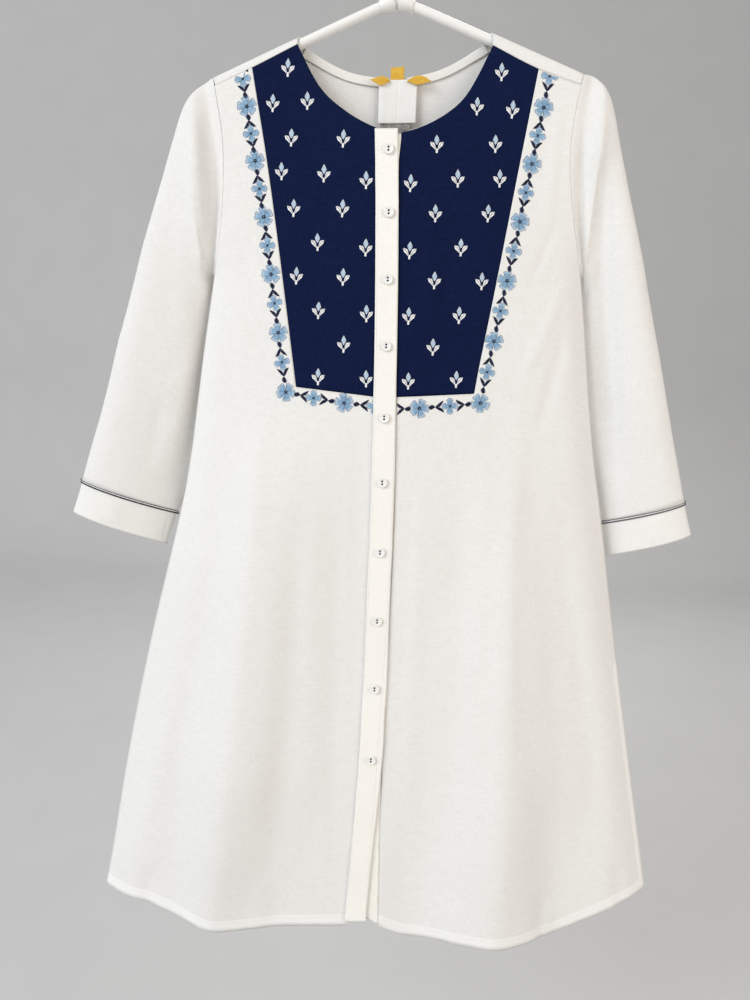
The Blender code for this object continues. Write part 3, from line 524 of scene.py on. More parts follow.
placketHalf = 0.01225
placketLine = [(-1.075, -0.0112), (-0.935, -0.0052), (-0.735, 0.0015), (-0.590, 0.0030),
               (-0.450, 0.0020), (-0.335, -0.0005), (-0.240, -0.0038), (-0.200, -0.0050)]


def placketMiddle(z):
    return between(placketLine, z)


frontFolds = [
    # the two broad folds that carry light and shade
    Fold((-0.118, -0.470), (-0.190, -1.120), 0.062, 0.0098, -0.010, 0.3),
    Fold((-0.124, -0.470), (-0.212, -1.300), 0.017, 0.0034, -0.011, 0.3, 2.5),
    Fold((-0.100, -0.470), (-0.150, -1.110), 0.056, 0.0072, -0.008, 0.3, 1.6),
    Fold((0.118, -0.480), (0.177, -1.120), 0.030, 0.0064, -0.003, 0.4),
    Fold((0.142, -0.470), (0.152, -1.300), 0.015, 0.0022, 0.004, 0.3, 2.5),
    Fold((0.184, -0.520), (0.268, -1.120), 0.024, -0.001, -0.002, 0.4),
    # fall of the cloth below the panel
    Fold((-0.150, -0.500), (-0.238, -1.060), 0.018, -0.0016, 0.004, 0.5),
    Fold((-0.085, -0.520), (-0.110, -1.080), 0.018, -0.0018, -0.004, 0.6),
    Fold((-0.060, -0.500), (-0.066, -1.020), 0.014, 0.001, 0.003, 0.4),
    Fold((-0.040, -0.560), (-0.036, -1.075), 0.010, -0.0009, 0.002, 0.3),
    Fold((-0.165, -0.560), (-0.262, -1.040), 0.013, 0.0012, 0.004, 0.4),
    Fold((0.044, -0.505), (0.050, -1.080), 0.012, 0.0011, 0.003, 0.5),
    Fold((0.078, -0.500), (0.094, -1.085), 0.017, -0.0015, -0.005, 0.5),
    Fold((0.110, -0.500), (0.120, -0.980), 0.012, 0.001, 0.004, 0.3),
    Fold((0.150, -0.520), (0.226, -1.060), 0.016, 0.0014, 0.006, 0.5),
    Fold((0.188, -0.600), (0.282, -1.030), 0.014, -0.0013, -0.003, 0.4),
    # pull lines from the underarms
    Fold((-0.176, -0.352), (-0.122, -0.470), 0.0065, 0.001, 0.004),
    Fold((-0.184, -0.378), (-0.146, -0.520), 0.0075, -0.0012, 0.003),
    Fold((-0.168, -0.300), (-0.136, -0.372), 0.005, -0.0008, -0.002),
    Fold((0.186, -0.346), (0.132, -0.480), 0.007, 0.0011, -0.004),
    Fold((0.194, -0.372), (0.158, -0.530), 0.008, -0.0012, -0.003),
    Fold((0.176, -0.292), (0.146, -0.370), 0.005, -0.0008, 0.002),
    # shoulders
    Fold((-0.160, -0.176), (-0.152, -0.330), 0.008, 0.0009, 0.003),
    Fold((-0.170, -0.190), (-0.163, -0.300), 0.005, -0.0007),
    Fold((0.166, -0.172), (0.158, -0.320), 0.008, 0.0009, -0.003),
    Fold((0.176, -0.186), (0.172, -0.290), 0.005, -0.0007),
    # faint waves of the navy panel
    Fold((-0.100, -0.190), (-0.084, -0.460), 0.012, 0.0008, 0.003),
    Fold((-0.070, -0.230), (-0.058, -0.465), 0.009, -0.0008, -0.002),
    Fold((-0.036, -0.235), (-0.034, -0.470), 0.009, 0.0007),
    Fold((0.104, -0.185), (0.088, -0.460), 0.012, 0.0008, -0.003),
    Fold((0.074, -0.220), (0.062, -0.465), 0.009, -0.0008, 0.002),
    Fold((0.040, -0.240), (0.040, -0.470), 0.009, 0.0007),
    # kinks of the hem
    Fold((-0.250, -1.020), (-0.258, -1.100), 0.010, -0.002),
    Fold((-0.120, -1.020), (-0.124, -1.110), 0.012, 0.0016),
    Fold((0.200, -1.030), (0.206, -1.120), 0.007, -0.0022),
    Fold((0.100, -1.030), (0.104, -1.120), 0.012, 0.0018),
    Fold((0.292, -1.000), (0.300, -1.080), 0.009, -0.0014),
]

backFolds = [
    Fold((-0.030, -0.210), (-0.060, -1.060), 0.016, -0.0034, 0.006, 0.8),
    Fold((0.034, -0.210), (0.070, -1.060), 0.015, -0.003, -0.005, 0.8),
    Fold((0.002, -0.200), (0.004, -0.900), 0.014, 0.0027, 0.002, 0.6),
    Fold((-0.100, -0.300), (-0.190, -1.060), 0.018, -0.0036, 0.006, 0.7),
    Fold((0.104, -0.300), (0.200, -1.060), 0.018, -0.0036, -0.006, 0.7),
    Fold((-0.140, -0.420), (-0.262, -1.040), 0.015, 0.0027, 0.004, 0.5),
    Fold((0.146, -0.430), (0.270, -1.040), 0.015, 0.0027, -0.004, 0.5),
    Fold((-0.074, -0.190), (-0.086, -0.520), 0.011, 0.0019, 0.004),
    Fold((0.078, -0.190), (0.092, -0.520), 0.011, 0.0019, -0.004),
    Fold((-0.178, -0.350), (-0.118, -0.470), 0.007, 0.0021, 0.004),
    Fold((-0.186, -0.378), (-0.144, -0.530), 0.008, -0.0025, 0.003),
    Fold((0.188, -0.346), (0.128, -0.480), 0.007, 0.0021, -0.004),
    Fold((0.196, -0.372), (0.154, -0.540), 0.008, -0.0025, -0.003),
    Fold((-0.150, -0.190), (-0.146, -0.330), 0.008, -0.0019, 0.003),
    Fold((0.154, -0.186), (0.150, -0.330), 0.008, -0.0019, -0.003),
    Fold((-0.210, -0.800), (-0.240, -1.080), 0.010, -0.0023),
    Fold((0.120, -0.860), (0.132, -1.110), 0.011, 0.0027),
    Fold((-0.128, -0.880), (-0.138, -1.110), 0.010, 0.0025),
    Fold((0.240, -0.820), (0.268, -1.080), 0.010, -0.0023),
]

sleeveFolds = {
    "right": [
        # the fold that hangs from the shoulder, and the hollow beside the armhole
        Fold((-0.202, -0.178), (-0.188, -0.440), 0.007, 0.003, 0.002),
        Fold((-0.186, -0.190), (-0.183, -0.380), 0.006, -0.0034),
        Fold((-0.216, -0.200), (-0.236, -0.470), 0.012, -0.0012, -0.004, 0.6),
        Fold((-0.180, -0.200), (-0.226, -0.620), 0.024, 0.006, 0.000, 0.0, 1.6),
        Fold((-0.230, -0.250), (-0.290, -0.570), 0.012, 0.0012, 0.004, 0.4),
        Fold((-0.206, -0.400), (-0.254, -0.590), 0.010, -0.0013, 0.003),
        Fold((-0.218, -0.430), (-0.245, -0.590), 0.006, 0.0009, 0.002),
        Fold((-0.256, -0.330), (-0.278, -0.440), 0.008, -0.0008, 0.004),
        Fold((-0.200, -0.455), (-0.264, -0.500), 0.005, 0.0007, -0.003),
        Fold((-0.205, -0.490), (-0.256, -0.520), 0.0045, -0.0006, -0.002),
        Fold((-0.284, -0.480), (-0.308, -0.590), 0.008, 0.0008, -0.002),
    ],
    "left": [
        Fold((0.206, -0.172), (0.205, -0.400), 0.007, 0.0028, -0.002),
        Fold((0.193, -0.190), (0.196, -0.360), 0.006, -0.0032),
        Fold((0.220, -0.200), (0.248, -0.480), 0.012, -0.0012, 0.004, 0.6),
        Fold((0.205, -0.210), (0.255, -0.600), 0.014, -0.009, 0.000, 0.0, 1.6),
        Fold((0.236, -0.250), (0.300, -0.560), 0.012, 0.0012, -0.004, 0.4),
        Fold((0.218, -0.380), (0.266, -0.590), 0.010, -0.0014, -0.003),
        Fold((0.226, -0.420), (0.256, -0.590), 0.006, 0.0009, -0.002),
        Fold((0.262, -0.330), (0.288, -0.440), 0.008, -0.0008, -0.004),
        Fold((0.210, -0.440), (0.272, -0.480), 0.005, 0.0007, 0.003),
        Fold((0.216, -0.480), (0.264, -0.508), 0.0045, -0.0006, 0.002),
        Fold((0.294, -0.470), (0.318, -0.580), 0.008, 0.0008, 0.002),
    ],
}


farWay = 0.05   # no edge nearby


def markWays(mesh, kinds):
    # how far each point is from the hem, from the side seam and from any edge
    rims = {name: [] for name in ("hemWay", "sideWay", "seamWay")}
    for edge in mesh.edges:
        if not edge.is_boundary:
            continue
        a, b = edge.verts[0].co, edge.verts[1].co
        kind = kinds(a, b)
        for t in (0.0, 0.25, 0.5, 0.75, 1.0):
            point = a.lerp(b, t)
            rims["seamWay"].append(point)
            if kind != "seamWay":
                rims[kind].append(point)
    for name, points in rims.items():
        tree = treeOf(points)
        layer = mesh.verts.layers.float.new(name)
        for vert in mesh.verts:
            vert[layer] = min(tree.find(vert.co)[2], farWay) if points else farWay


def mapWeave(mesh, place):
    layer = mesh.loops.layers.uv.new("weave")
    for face in mesh.faces:
        for loop in face.loops:
            loop[layer].uv = place(loop.vert.co)


bodyTurn = {"deep": 0.045, "from": 0.06, "over": 0.10}


def bodyPlace(point):
    # across, along: the arc is unrolled where the cloth turns the corner at the side
    corner = soft((abs(point.x) - bodyTurn["from"]) / bodyTurn["over"])
    unrolled = (bodyTurn["deep"] - min(abs(point.y), bodyTurn["deep"])) * corner
    return (point.x + math.copysign(unrolled, point.x), point.z - tilt * point.x)


sleeveLine = {"lean": 15.5, "out": 0.19, "top": -0.16, "middle": 0.01, "deep": 0.02}


def sleevePlace(side):
    lean = math.radians(sleeveLine["lean"]) * side

    def place(point):
        out = point.x - side * sleeveLine["out"]
        down = point.z - sleeveLine["top"]
        along = down * math.cos(lean) - out * math.sin(lean)
        across = out * math.cos(lean) + down * math.sin(lean)
        unrolled = sleeveLine["deep"] - min(abs(point.y - sleeveLine["middle"]), sleeveLine["deep"])
        return (across + math.copysign(unrolled, across), along)
    return place


sideSeam = {"top": -0.78, "out": 0.12}   # the stretch whose double cloth shows, at the wearer's left


def bodyKinds(a, b):
    level = abs(b.z - a.z) < abs(b.x - a.x) * 1.2
    middle = (a + b) / 2
    if middle.z < hemTop and level:
        return "hemWay"
    if middle.z < sideSeam["top"] and middle.x > sideSeam["out"]:
        return "sideWay"
    return "seamWay"


def seamKinds(a, b):
    return "seamWay"


def wallUp(piece, thick):
    wall = piece.modifiers.new("wall", "SOLIDIFY")
    wall.thickness = thick
    wall.offset = -1.0
    wall.use_quality_normals = True
    wall.thickness_clamp = 1.0


def holdRims(mesh, reach):
    # nothing moves where a tube of cloth is sewn on to its neighbour
    tree = treeOf([vert.co.copy() for vert in mesh.verts if vert.is_boundary])

    def hold(point):
        return soft((tree.find(point)[2] - 0.0015) / reach)
    return hold


tops = {}   # the skins that sewing lies on


def makeClothPiece(plan):
    mesh = takeSkin(plan["node"], plan.get("bend", skinCut["bend"]), plan.get("facing"))
    mesh = smoothSkin(plan["name"], mesh, plan["levels"])
    widenEdges(mesh, plan.get("reach", 0.0))
    if plan.get("shape"):
        for vert in mesh.verts:
            vert.co += plan["shape"](vert.co)
        mesh.normal_update()
    push = plan.get("push")
    if push:
        hold = holdRims(mesh, plan["hold"]) if "hold" in plan else (lambda point: 1.0)
        moves = [vert.normal * (push(vert.co) * hold(vert.co)) for vert in mesh.verts]
        for vert, move in zip(mesh.verts, moves):
            vert.co += move
        mesh.normal_update()
    markWays(mesh, plan.get("kinds", seamKinds))
    mapWeave(mesh, plan.get("place", bodyPlace))
    for face in mesh.faces:
        face.smooth = True
    tops[plan["node"]] = mesh.copy()
    piece = meshPiece(plan["name"], mesh, cloth[plan["material"]])
    wallUp(piece, plan["wall"])
    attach(piece, "root")
    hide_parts(plan["node"])
    return piece


# the folds ease in from the placket, and from a line below the shoulder that rises beyond "slopeFrom"
frontHold = {"placket": 0.017, "placketEase": 0.022, "top": -0.150, "topEase": 0.030, "slope": 0.30,
             "slopeFrom": 0.09, "ripple": 0.0005, "seed": 1.0}


def frontPush(point):
    hold = frontHold
    side = sideFade(point.x, point.z)
    middle = soft((abs(point.x - placketMiddle(point.z)) - hold["placket"]) / hold["placketEase"])
    higher = hold["slope"] * max(abs(point.x) - hold["slopeFrom"], 0.0)
    top = soft((hold["top"] - point.z + higher) / hold["topEase"])
    deep = foldPush(frontFolds, point.x, point.z) + ripple(point.x, point.z, hold["ripple"], hold["seed"])
    return deep * side * middle * top


backHold = {"behind": 0.004, "top": -0.165, "topEase": 0.040, "ripple": 0.0006, "seed": 9.0}


def backPush(point):
    hold = backHold
    if point.y < hold["behind"]:
        return 0.0
    side = sideFade(point.x, point.z)
    top = soft((hold["top"] - point.z) / hold["topEase"])
    deep = foldPush(backFolds, point.x, point.z) + ripple(point.x, point.z, hold["ripple"], hold["seed"])
    return deep * side * top


# the same folds run down the sleeve's back, shifted and shallower
sleeveHold = {"front": 0.012, "behind": 0.010, "ease": 0.010, "backOut": 0.018, "backUp": 0.03,
              "backShare": 0.7, "ripple": 0.0005, "seed": 5.0}


def sleevePush(side):
    folds = sleeveFolds["left" if side > 0 else "right"]
    hold = sleeveHold

    def push(point):
        front = soft((hold["front"] - point.y) / hold["ease"])
        behind = soft((point.y - hold["behind"]) / hold["ease"])
        deep = foldPush(folds, point.x, point.z) * front
        backDeep = foldPush(folds, point.x + hold["backOut"] * side, point.z + hold["backUp"])
        deep += backDeep * hold["backShare"] * behind
        return deep + ripple(point.x, point.z, hold["ripple"], hold["seed"] + side)
    return push


cuffHold = {"front": 0.010, "ease": 0.008, "ripple": 0.0003, "seed": 15.0}
cuffFolds = {
    "right": [Fold((-0.2326, -0.612), (-0.2436, -0.656), 0.0012, -0.0011),
              Fold((-0.290, -0.596), (-0.296, -0.634), 0.012, 0.0012)],
    "left": [Fold((0.248, -0.608), (0.259, -0.650), 0.0009, -0.0006),
             Fold((0.300, -0.595), (0.308, -0.632), 0.011, 0.0011)],
}


def cuffPush(side):
    folds = cuffFolds["left" if side > 0 else "right"]
    hold = cuffHold

    def push(point):
        deep = foldPush(folds, point.x, point.z) * soft((hold["front"] - point.y) / hold["ease"])
        return deep + ripple(point.x, point.z, hold["ripple"], hold["seed"] + side)
    return push


trimPress = -0.0008


def sitClose(point):
    # the trim is pressed down on the seam it covers
    return trimPress


cuffTurn = {"top": -0.47, "over": 0.11, "in": -0.0014, "slope": -0.058, "middle": -0.290}


def turnCuff(point):
    # the wearer's right sleeve ends a little more aslant than its form
    share = soft((cuffTurn["top"] - point.z) / cuffTurn["over"])
    return Vector((cuffTurn["in"] * share, 0.0, cuffTurn["slope"] * share * (point.x - cuffTurn["middle"])))


placketLift = {"waves": 17.0, "wave": 0.0007, "foot": -1.0640, "footEase": 0.0012, "footLift": 0.0005,
               "ripple": 0.0002, "seed": 21.0}


def placketPush(point):
    # the pressed strip lifts a little between its buttons, and its foot is turned up behind
    lift = placketLift
    wave = noise.noise(Vector((point.z * lift["waves"], 2.0, 0.0)))
    foot = soft((lift["foot"] - point.z) / lift["footEase"])
    return (lift["wave"] * wave + lift["footLift"] * foot
            + ripple(point.x, point.z, lift["ripple"], lift["seed"]))


def bulge(at, middle, wide, deep):
    return deep * math.exp(-((at - middle) / wide) ** 2)


# middle, half width and depth of the crease and of the pressed side; the foot stands away
stripForm = {"crease": (0.0046, 0.0011, -0.0003), "side": (-0.0110, 0.0035, 0.0004), "foot": -0.184,
             "footEase": 0.018, "footLift": 0.0007, "press": 0.0008, "ripple": 0.0004, "seed": 31.0}


def stripPush(point):
    form = stripForm
    foot = form["footLift"] * soft((form["foot"] - point.z) / form["footEase"])
    pressed = bulge(point.x, *form["crease"]) + bulge(point.x, *form["side"]) + foot - form["press"]
    return pressed + ripple(point.x, point.z, form["ripple"], form["seed"])


careLift = {"foot": -0.190, "footEase": 0.03, "footLift": 0.0010, "ripple": 0.0007, "seed": 41.0}


def labelPush(point):
    uneven = ripple(point.x, point.z, careLift["ripple"], careLift["seed"])
    return uneven + careLift["footLift"] * soft((careLift["foot"] - point.z) / careLift["footEase"])


# the label's height from end to end, as a share of its form's
labelOutline = [(-0.0242, 0.04), (-0.0205, 0.52), (-0.0160, 0.82), (-0.0120, 0.84), (-0.0080, 0.58),
                (-0.0045, 0.14), (0.0150, 0.14), (0.0190, 0.56), (0.0235, 0.82), (0.0290, 0.84),
                (0.0340, 0.54), (0.0382, 0.04)]


labelEnds = {"right": -0.0025, "left": 0.0120, "ease": 0.003, "ahead": 0.0060, "middle": -0.1637,
             "drop": 0.0010}


def pointedLabel(point):
    # leaf-shaped ends that stand in front of the strip, and a narrow middle behind it
    ends = labelEnds
    tall = between(labelOutline, point.x)
    share = soft((ends["right"] - point.x) / ends["ease"]) + soft((point.x - ends["left"]) / ends["ease"])
    return Vector((0.0, -ends["ahead"] * share, (tall - 1.0) * (point.z - ends["middle"]) - ends["drop"]))


stripHang = {"draw": -0.07, "middle": 0.0035, "drop": -0.0008, "top": -0.1850, "ease": 0.020}


def lowerStrip(point):
    # the strip hangs from under the label, and its folded sides draw in
    hang = stripHang
    drop = hang["drop"] * soft((point.z - hang["top"]) / hang["ease"])
    return Vector((hang["draw"] * (point.x - hang["middle"]), 0.0, drop))


loopHang = {"drop": -0.0021, "top": -0.1660, "ease": 0.014, "slope": 0.05, "middle": 0.0034}


def shorterLoop(point):
    hang = loopHang
    drop = hang["drop"] * soft((point.z - hang["top"]) / hang["ease"])
    return Vector((0.0, 0.0, drop + hang["slope"] * (point.x - hang["middle"])))


placketEdge = {"waves": 26.0, "uneven": 0.00045, "rise": 0.0027, "riseFrom": -0.238, "riseEase": 0.016}


def unevenEdge(point):
    # scissors and iron never leave the strip's width quite even
    across = (point.x - placketMiddle(point.z)) / placketHalf
    wave = noise.noise(Vector((point.z * placketEdge["waves"], 5.0 + across, 0.0)))
    return Vector((placketEdge["uneven"] * across * wave, 0.0, 0.0))


# how far the strip slides sideways and how much it widens, by height
placketSlide = [(-1.070, 0.0), (-1.010, 0.0008), (-0.960, 0.0018), (-0.900, 0.0030), (-0.855, 0.0029),
                (-0.785, 0.0019), (-0.710, 0.0004), (-0.560, 0.0), (-0.450, -0.0008), (-0.250, -0.0008),
                (-0.216, -0.0016)]
placketSpread = [(-1.010, 0.0), (-0.900, 0.06), (-0.780, 0.06), (-0.700, 0.02), (-0.560, 0.0),
                 (-0.450, -0.062), (-0.216, -0.062)]


def raisedPlacket(point):
    # the strip's upper end closes the neckline, and it narrows toward it
    shift = unevenEdge(point)
    across = point.x - placketMiddle(point.z)
    shift.x += between(placketSlide, point.z) + between(placketSpread, point.z) * across
    shift.z += placketEdge["rise"] * soft((point.z - placketEdge["riseFrom"]) / placketEdge["riseEase"])
    return shift


# how far the wearer's left edge moves under the strip, by height
tuck = [(-1.085, -0.0006), (-1.000, -0.0016), (-0.930, -0.0028), (-0.880, -0.0034), (-0.800, -0.0028),
        (-0.700, -0.0014), (-0.610, -0.0008), (-0.500, -0.0021), (-0.246, -0.0021), (-0.226, 0.0)]


tuckReach = {"out": 0.036, "outEase": 0.020, "in": 0.010, "inEase": 0.008}


def tuckedIn(point):
    reach = tuckReach
    middle = placketMiddle(point.z)
    outer = soft((middle + reach["out"] - point.x) / reach["outEase"])
    inner = soft((point.x - middle + reach["in"]) / reach["inEase"])
    return Vector((between(tuck, point.z) * (outer * inner), 0.0, 0.0))


bandEnds = {"corner": 0.0780, "longer": 0.55, "slope": 0.20}


def longerBand(point):
    # the band runs on behind the shoulder corners
    past = max(abs(point.x) - bandEnds["corner"], 0.0)
    return Vector((math.copysign(bandEnds["longer"] * past, point.x), 0.0, bandEnds["slope"] * past))


forward, backward = (0, -1, 0), (0, 1, 0)
offWhite = {"slot": "off_white_cloth", "material": "offWhiteCotton", "levels": 3, "kinds": bodyKinds,
            "wall": 0.0010, "reach": 0.00022, "rests": ["hanger_arms"]}
navyYoke = {"slot": "navy_yoke_cloth", "material": "navyCotton", "levels": 3, "facing": forward,
            "push": frontPush, "wall": 0.0010, "reach": 0.00010, "flat": (0.14, 0.35), "area": 0.032}
sleeve = {"slot": "off_white_cloth", "material": "offWhiteCotton", "levels": 2, "bend": 50, "hold": 0.016,
          "wall": 0.0010, "reach": 0.0003}
cuff = {"slot": "off_white_cloth", "material": "cuffCotton", "levels": 3, "hold": 0.006,
        "wall": 0.0014, "reach": 0.0002}
placket = {"slot": "cream_placket_cloth", "material": "placketCotton", "levels": 3, "facing": forward,
           "kinds": bodyKinds, "flat": (0.0245, 0.86), "area": 0.021}
neckBand = {"slot": "off_white_cloth", "material": "bandCotton", "levels": 2, "facing": backward,
            "wall": 0.0008}
yellowTape = {"slot": "yellow_label_tape", "material": "yellowWovenTape", "facing": forward}
label = {"facing": forward, "wall": 0.0005}

clothPlans = [
    {**offWhite, "name": "frontRightCloth", "node": "front_right", "facing": forward, "push": frontPush,
     "flat": (0.33, 0.95), "area": 0.182},
    {**offWhite, "name": "frontLeftCloth", "node": "front_left", "facing": forward, "push": frontPush,
     "shape": tuckedIn, "flat": (0.35, 0.95), "area": 0.192},
    {**offWhite, "name": "backCloth", "node": "back", "facing": backward, "push": backPush,
     "flat": (0.67, 0.99), "area": 0.468},
    {**navyYoke, "name": "yokeRightCloth", "node": "yoke_right", "rests": ["frontRightCloth"]},
    {**navyYoke, "name": "yokeLeftCloth", "node": "yoke_left", "shape": tuckedIn,
     "rests": ["frontLeftCloth"]},
    {**sleeve, "name": "sleeveRightCloth", "node": "sleeve_right", "push": sleevePush(-1),
     "shape": turnCuff, "place": sleevePlace(-1), "flat": (0.40, 0.46), "area": 0.083,
     "rests": ["hanger_arms", "frontRightCloth"]},
    {**sleeve, "name": "sleeveLeftCloth", "node": "sleeve_left", "push": sleevePush(1),
     "place": sleevePlace(1), "flat": (0.38, 0.46), "area": 0.077,
     "rests": ["hanger_arms", "frontLeftCloth"]},
    {**cuff, "name": "cuffRightCloth", "node": "cuff_right", "push": cuffPush(-1), "shape": turnCuff,
     "place": sleevePlace(-1), "flat": (0.215, 0.036), "area": 0.0077, "rests": ["sleeveRightCloth"]},
    {**cuff, "name": "cuffLeftCloth", "node": "cuff_left", "push": cuffPush(1),
     "place": sleevePlace(1), "flat": (0.205, 0.036), "area": 0.0072, "rests": ["sleeveLeftCloth"]},
    {**placket, "name": "placketOuterCloth", "node": "placket_over", "push": placketPush,
     "shape": raisedPlacket, "wall": 0.0016, "rests": ["frontRightCloth"]},
    {**placket, "name": "placketUnderCloth", "node": "placket_under", "shape": tuckedIn, "wall": 0.0014,
     "rests": ["frontLeftCloth"]},
    {**neckBand, "name": "neckBandBackTape", "node": "neck_band_back", "facing": forward,
     "shape": longerBand, "flat": (0.195, 0.0105), "area": 0.0017, "rests": ["backCloth"]},
    {**neckBand, "name": "neckBandRightTape", "node": "neck_band_right",
     "flat": (0.135, 0.0105), "area": 0.0011, "rests": ["yokeRightCloth"]},
    {**neckBand, "name": "neckBandLeftTape", "node": "neck_band_left",
     "flat": (0.140, 0.0105), "area": 0.0011, "rests": ["yokeLeftCloth"]},
    {**yellowTape, "name": "neckLabelTape", "node": "neck_label", "levels": 4, "shape": pointedLabel,
     "wall": 0.0006, "flat": (0.063, 0.0108), "area": 0.00031, "rests": ["neckBandBackTape"]},
    {**yellowTape, "name": "labelLoopTape", "node": "label_loop", "levels": 2, "shape": shorterLoop,
     "wall": 0.0008, "flat": (0.0136, 0.020), "area": 0.00027, "rests": ["neckLabelTape"]},
    {**label, "name": "careLabelTape", "node": "care_label", "slot": "grey_label_tape",
     "material": "careLabelTape", "levels": 3, "push": labelPush,
     "flat": (0.032, 0.058), "area": 0.0018, "rests": ["neckBandBackTape"]},
    {**label, "name": "sizeStripTape", "node": "size_strip", "slot": "white_label_tape",
     "material": "stripSatin", "levels": 4, "push": stripPush, "shape": lowerStrip,
     "flat": (0.0414, 0.0415), "area": 0.0017, "rests": ["careLabelTape"]},
]

clothPieces = {}
for plan in clothPlans:
    clothPieces[plan["name"]] = makeClothPiece(plan)
    print("cloth:", plan["name"], len(clothPieces[plan["name"]].data.polygons), "faces")

for plan in clothPlans:
    [nodes[name] if name in nodes else clothPieces[name] for name in plan["rests"]]


# sewing: every stitch is a low arch of thread, pinned down at both ends

def makeSurface(names):
    mesh = bmesh.new()
    for name in names:
        data = bpy.data.meshes.new("surfaceCopy")
        tops[name].to_mesh(data)
        mesh.from_mesh(data)
        bpy.data.meshes.remove(data)
    return BVHTree.FromBMesh(mesh)


frontSurface = makeSurface(["front_right", "front_left", "yoke_right", "yoke_left"])


def castOn(surface, x, z, away=-1.0):
    # the place on a surface seen square from the front, or from behind, and the normal there
    return surface.ray_cast(Vector((x, 0.4 * away, z)), Vector((0.0, -away, 0.0)))[:2]


class Sewing:
    # one mesh for all the stitches of one thread, gathered from small batches that stay quick to build
    batch = 80
    steps = 3        # pieces along a stitch
    pinned = 0.25    # share of its height that a stitch keeps at its ends
    sunk = 0.00008   # how far its sides go into the cloth

    def __init__(self, name, thread, slot):
        self.name, self.thread, self.slot = name, thread, slot
        self.parts = []
        self.count = 0
        self.startBatch()

    def startBatch(self):
        self.mesh = bmesh.new()
        self.tone = self.mesh.faces.layers.float.new("threadTone")

    def layBatch(self):
        part = bpy.data.meshes.new(self.name + "Batch")
        self.mesh.to_mesh(part)
        self.mesh.free()
        self.parts.append(part)
        self.startBatch()

    def stitch(self, start, end, normal, wide, lift, tone=0.5, taper=0.35):
        run = end - start
        if run.length < 1e-5:
            return
        side = run.cross(normal).normalized()
        made = bmesh.ops.create_grid(self.mesh, x_segments=self.steps, y_segments=2, size=0.5)["verts"]
        for vert in made:
            along, across = vert.co.x + 0.5, vert.co.y * 2.0
            arch = math.sqrt(max(0.0, 4.0 * along * (1.0 - along)))
            narrow = 1.0 - taper * (1.0 - arch)
            rise = lift * mixed(self.pinned, 1.0, arch) * (1.0 - abs(across)) - self.sunk * abs(across)
            vert.co = start + run * along + side * (across * wide * 0.5 * narrow) + normal * rise
        for face in {face for vert in made for face in vert.link_faces}:
            face[self.tone] = tone
            face.smooth = True
            if face.normal.dot(normal) < 0:
                face.normal_flip()
        self.count += 1
        if self.count % self.batch == 0:
            self.layBatch()

    def finish(self):
        self.layBatch()
        self.mesh.free()
        whole = bmesh.new()
        for part in self.parts:
            whole.from_mesh(part)
            bpy.data.meshes.remove(part)
        whole.normal_update()
        piece = meshPiece(self.name, whole, threads[self.thread])
        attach(piece, "root")
        print("sewing:", self.name, self.count, "stitches")


blueSewing = Sewing("flowerStitches", "flowerBlueThread", "off_white_cloth")
navySewing = Sewing("leafStitches", "navyThread", "off_white_cloth")
whiteSewing = Sewing("sprigLeafStitches", "whiteThread", "navy_yoke_cloth")
budSewing = Sewing("sprigBudStitches", "budBlueThread", "navy_yoke_cloth")

stitchWide = 0.00062
stitchLift = 0.00042
satinPitch = 0.00044   # from thread to thread of a filled leaf


class Motif:
    # a place on the front with its own turned, flat directions
    def __init__(self, x, z, angle):
        self.x, self.z = x, z
        self.cos, self.sin = math.cos(angle), math.sin(angle)

    def at(self, along, across):
        x = self.x + along * self.cos - across * self.sin
        z = self.z + along * self.sin + across * self.cos
        return castOn(frontSurface, x, z)

    def sew(self, sewing, start, end, wide=stitchWide, lift=stitchLift, tone=0.5, taper=0.35):
        (a, normalA), (b, normalB) = self.at(*start), self.at(*end)
        if a is None or b is None:
            return
        sewing.stitch(a, b, (normalA + normalB).normalized(), wide, lift, tone, taper)


def turned(along, across, angle):
    cos, sin = math.cos(angle), math.sin(angle)
    return along * cos - across * sin, along * sin + across * cos


# roundness of a leaf's sides, and how its tone wanders; its two halves beside a vein differ a little: one
# painted lighter, one darker, a painted sheen of the thread's two slants
leafForm = {"round": 0.75, "kiteRound": 0.85, "tone": 0.16, "lit": 0.10, "shaded": -0.08}


def sewLeaf(motif, sewing, root, tip, wide, slant, split=0.0, belly=0.0, tone=0.5, fullness=0.85, kite=0.0):
    # slanting satin stitches from side to side, or from a split vein outward
    runX, runY = tip[0] - root[0], tip[1] - root[1]
    length = math.hypot(runX, runY)
    alongX, alongY = runX / length, runY / length
    count = max(3, round(length / satinPitch))
    for number in range(count):
        t = (number + 0.5) / count
        half = wide * 0.5 * math.sin(math.pi * t ** fullness) ** leafForm["round"]
        if kite:
            half = wide * 0.5 * min(t / kite, (1.0 - t) / (1.0 - kite)) ** leafForm["kiteRound"]
        bent = belly * math.sin(math.pi * t)
        middle = (root[0] + runX * t - alongY * bent, root[1] + runY * t + alongX * bent)
        ahead = half * slant
        shade = tone + leafForm["tone"] * flicker(number + root[0] * 900.0 + root[1] * 700.0)

        def beside(across, along=0.0):
            return middle[0] - alongY * across + alongX * along, middle[1] + alongX * across + alongY * along

        gap = split * 0.5
        if not split:
            motif.sew(sewing, beside(half, ahead), beside(-half, -ahead), tone=shade)
        elif half > gap * 1.5:
            # painted sheen: the half on one side of the vein lighter, the other darker
            motif.sew(sewing, beside(gap), beside(half, ahead), tone=shade + leafForm["lit"])
            motif.sew(sewing, beside(-gap), beside(-half, ahead), tone=shade + leafForm["shaded"])


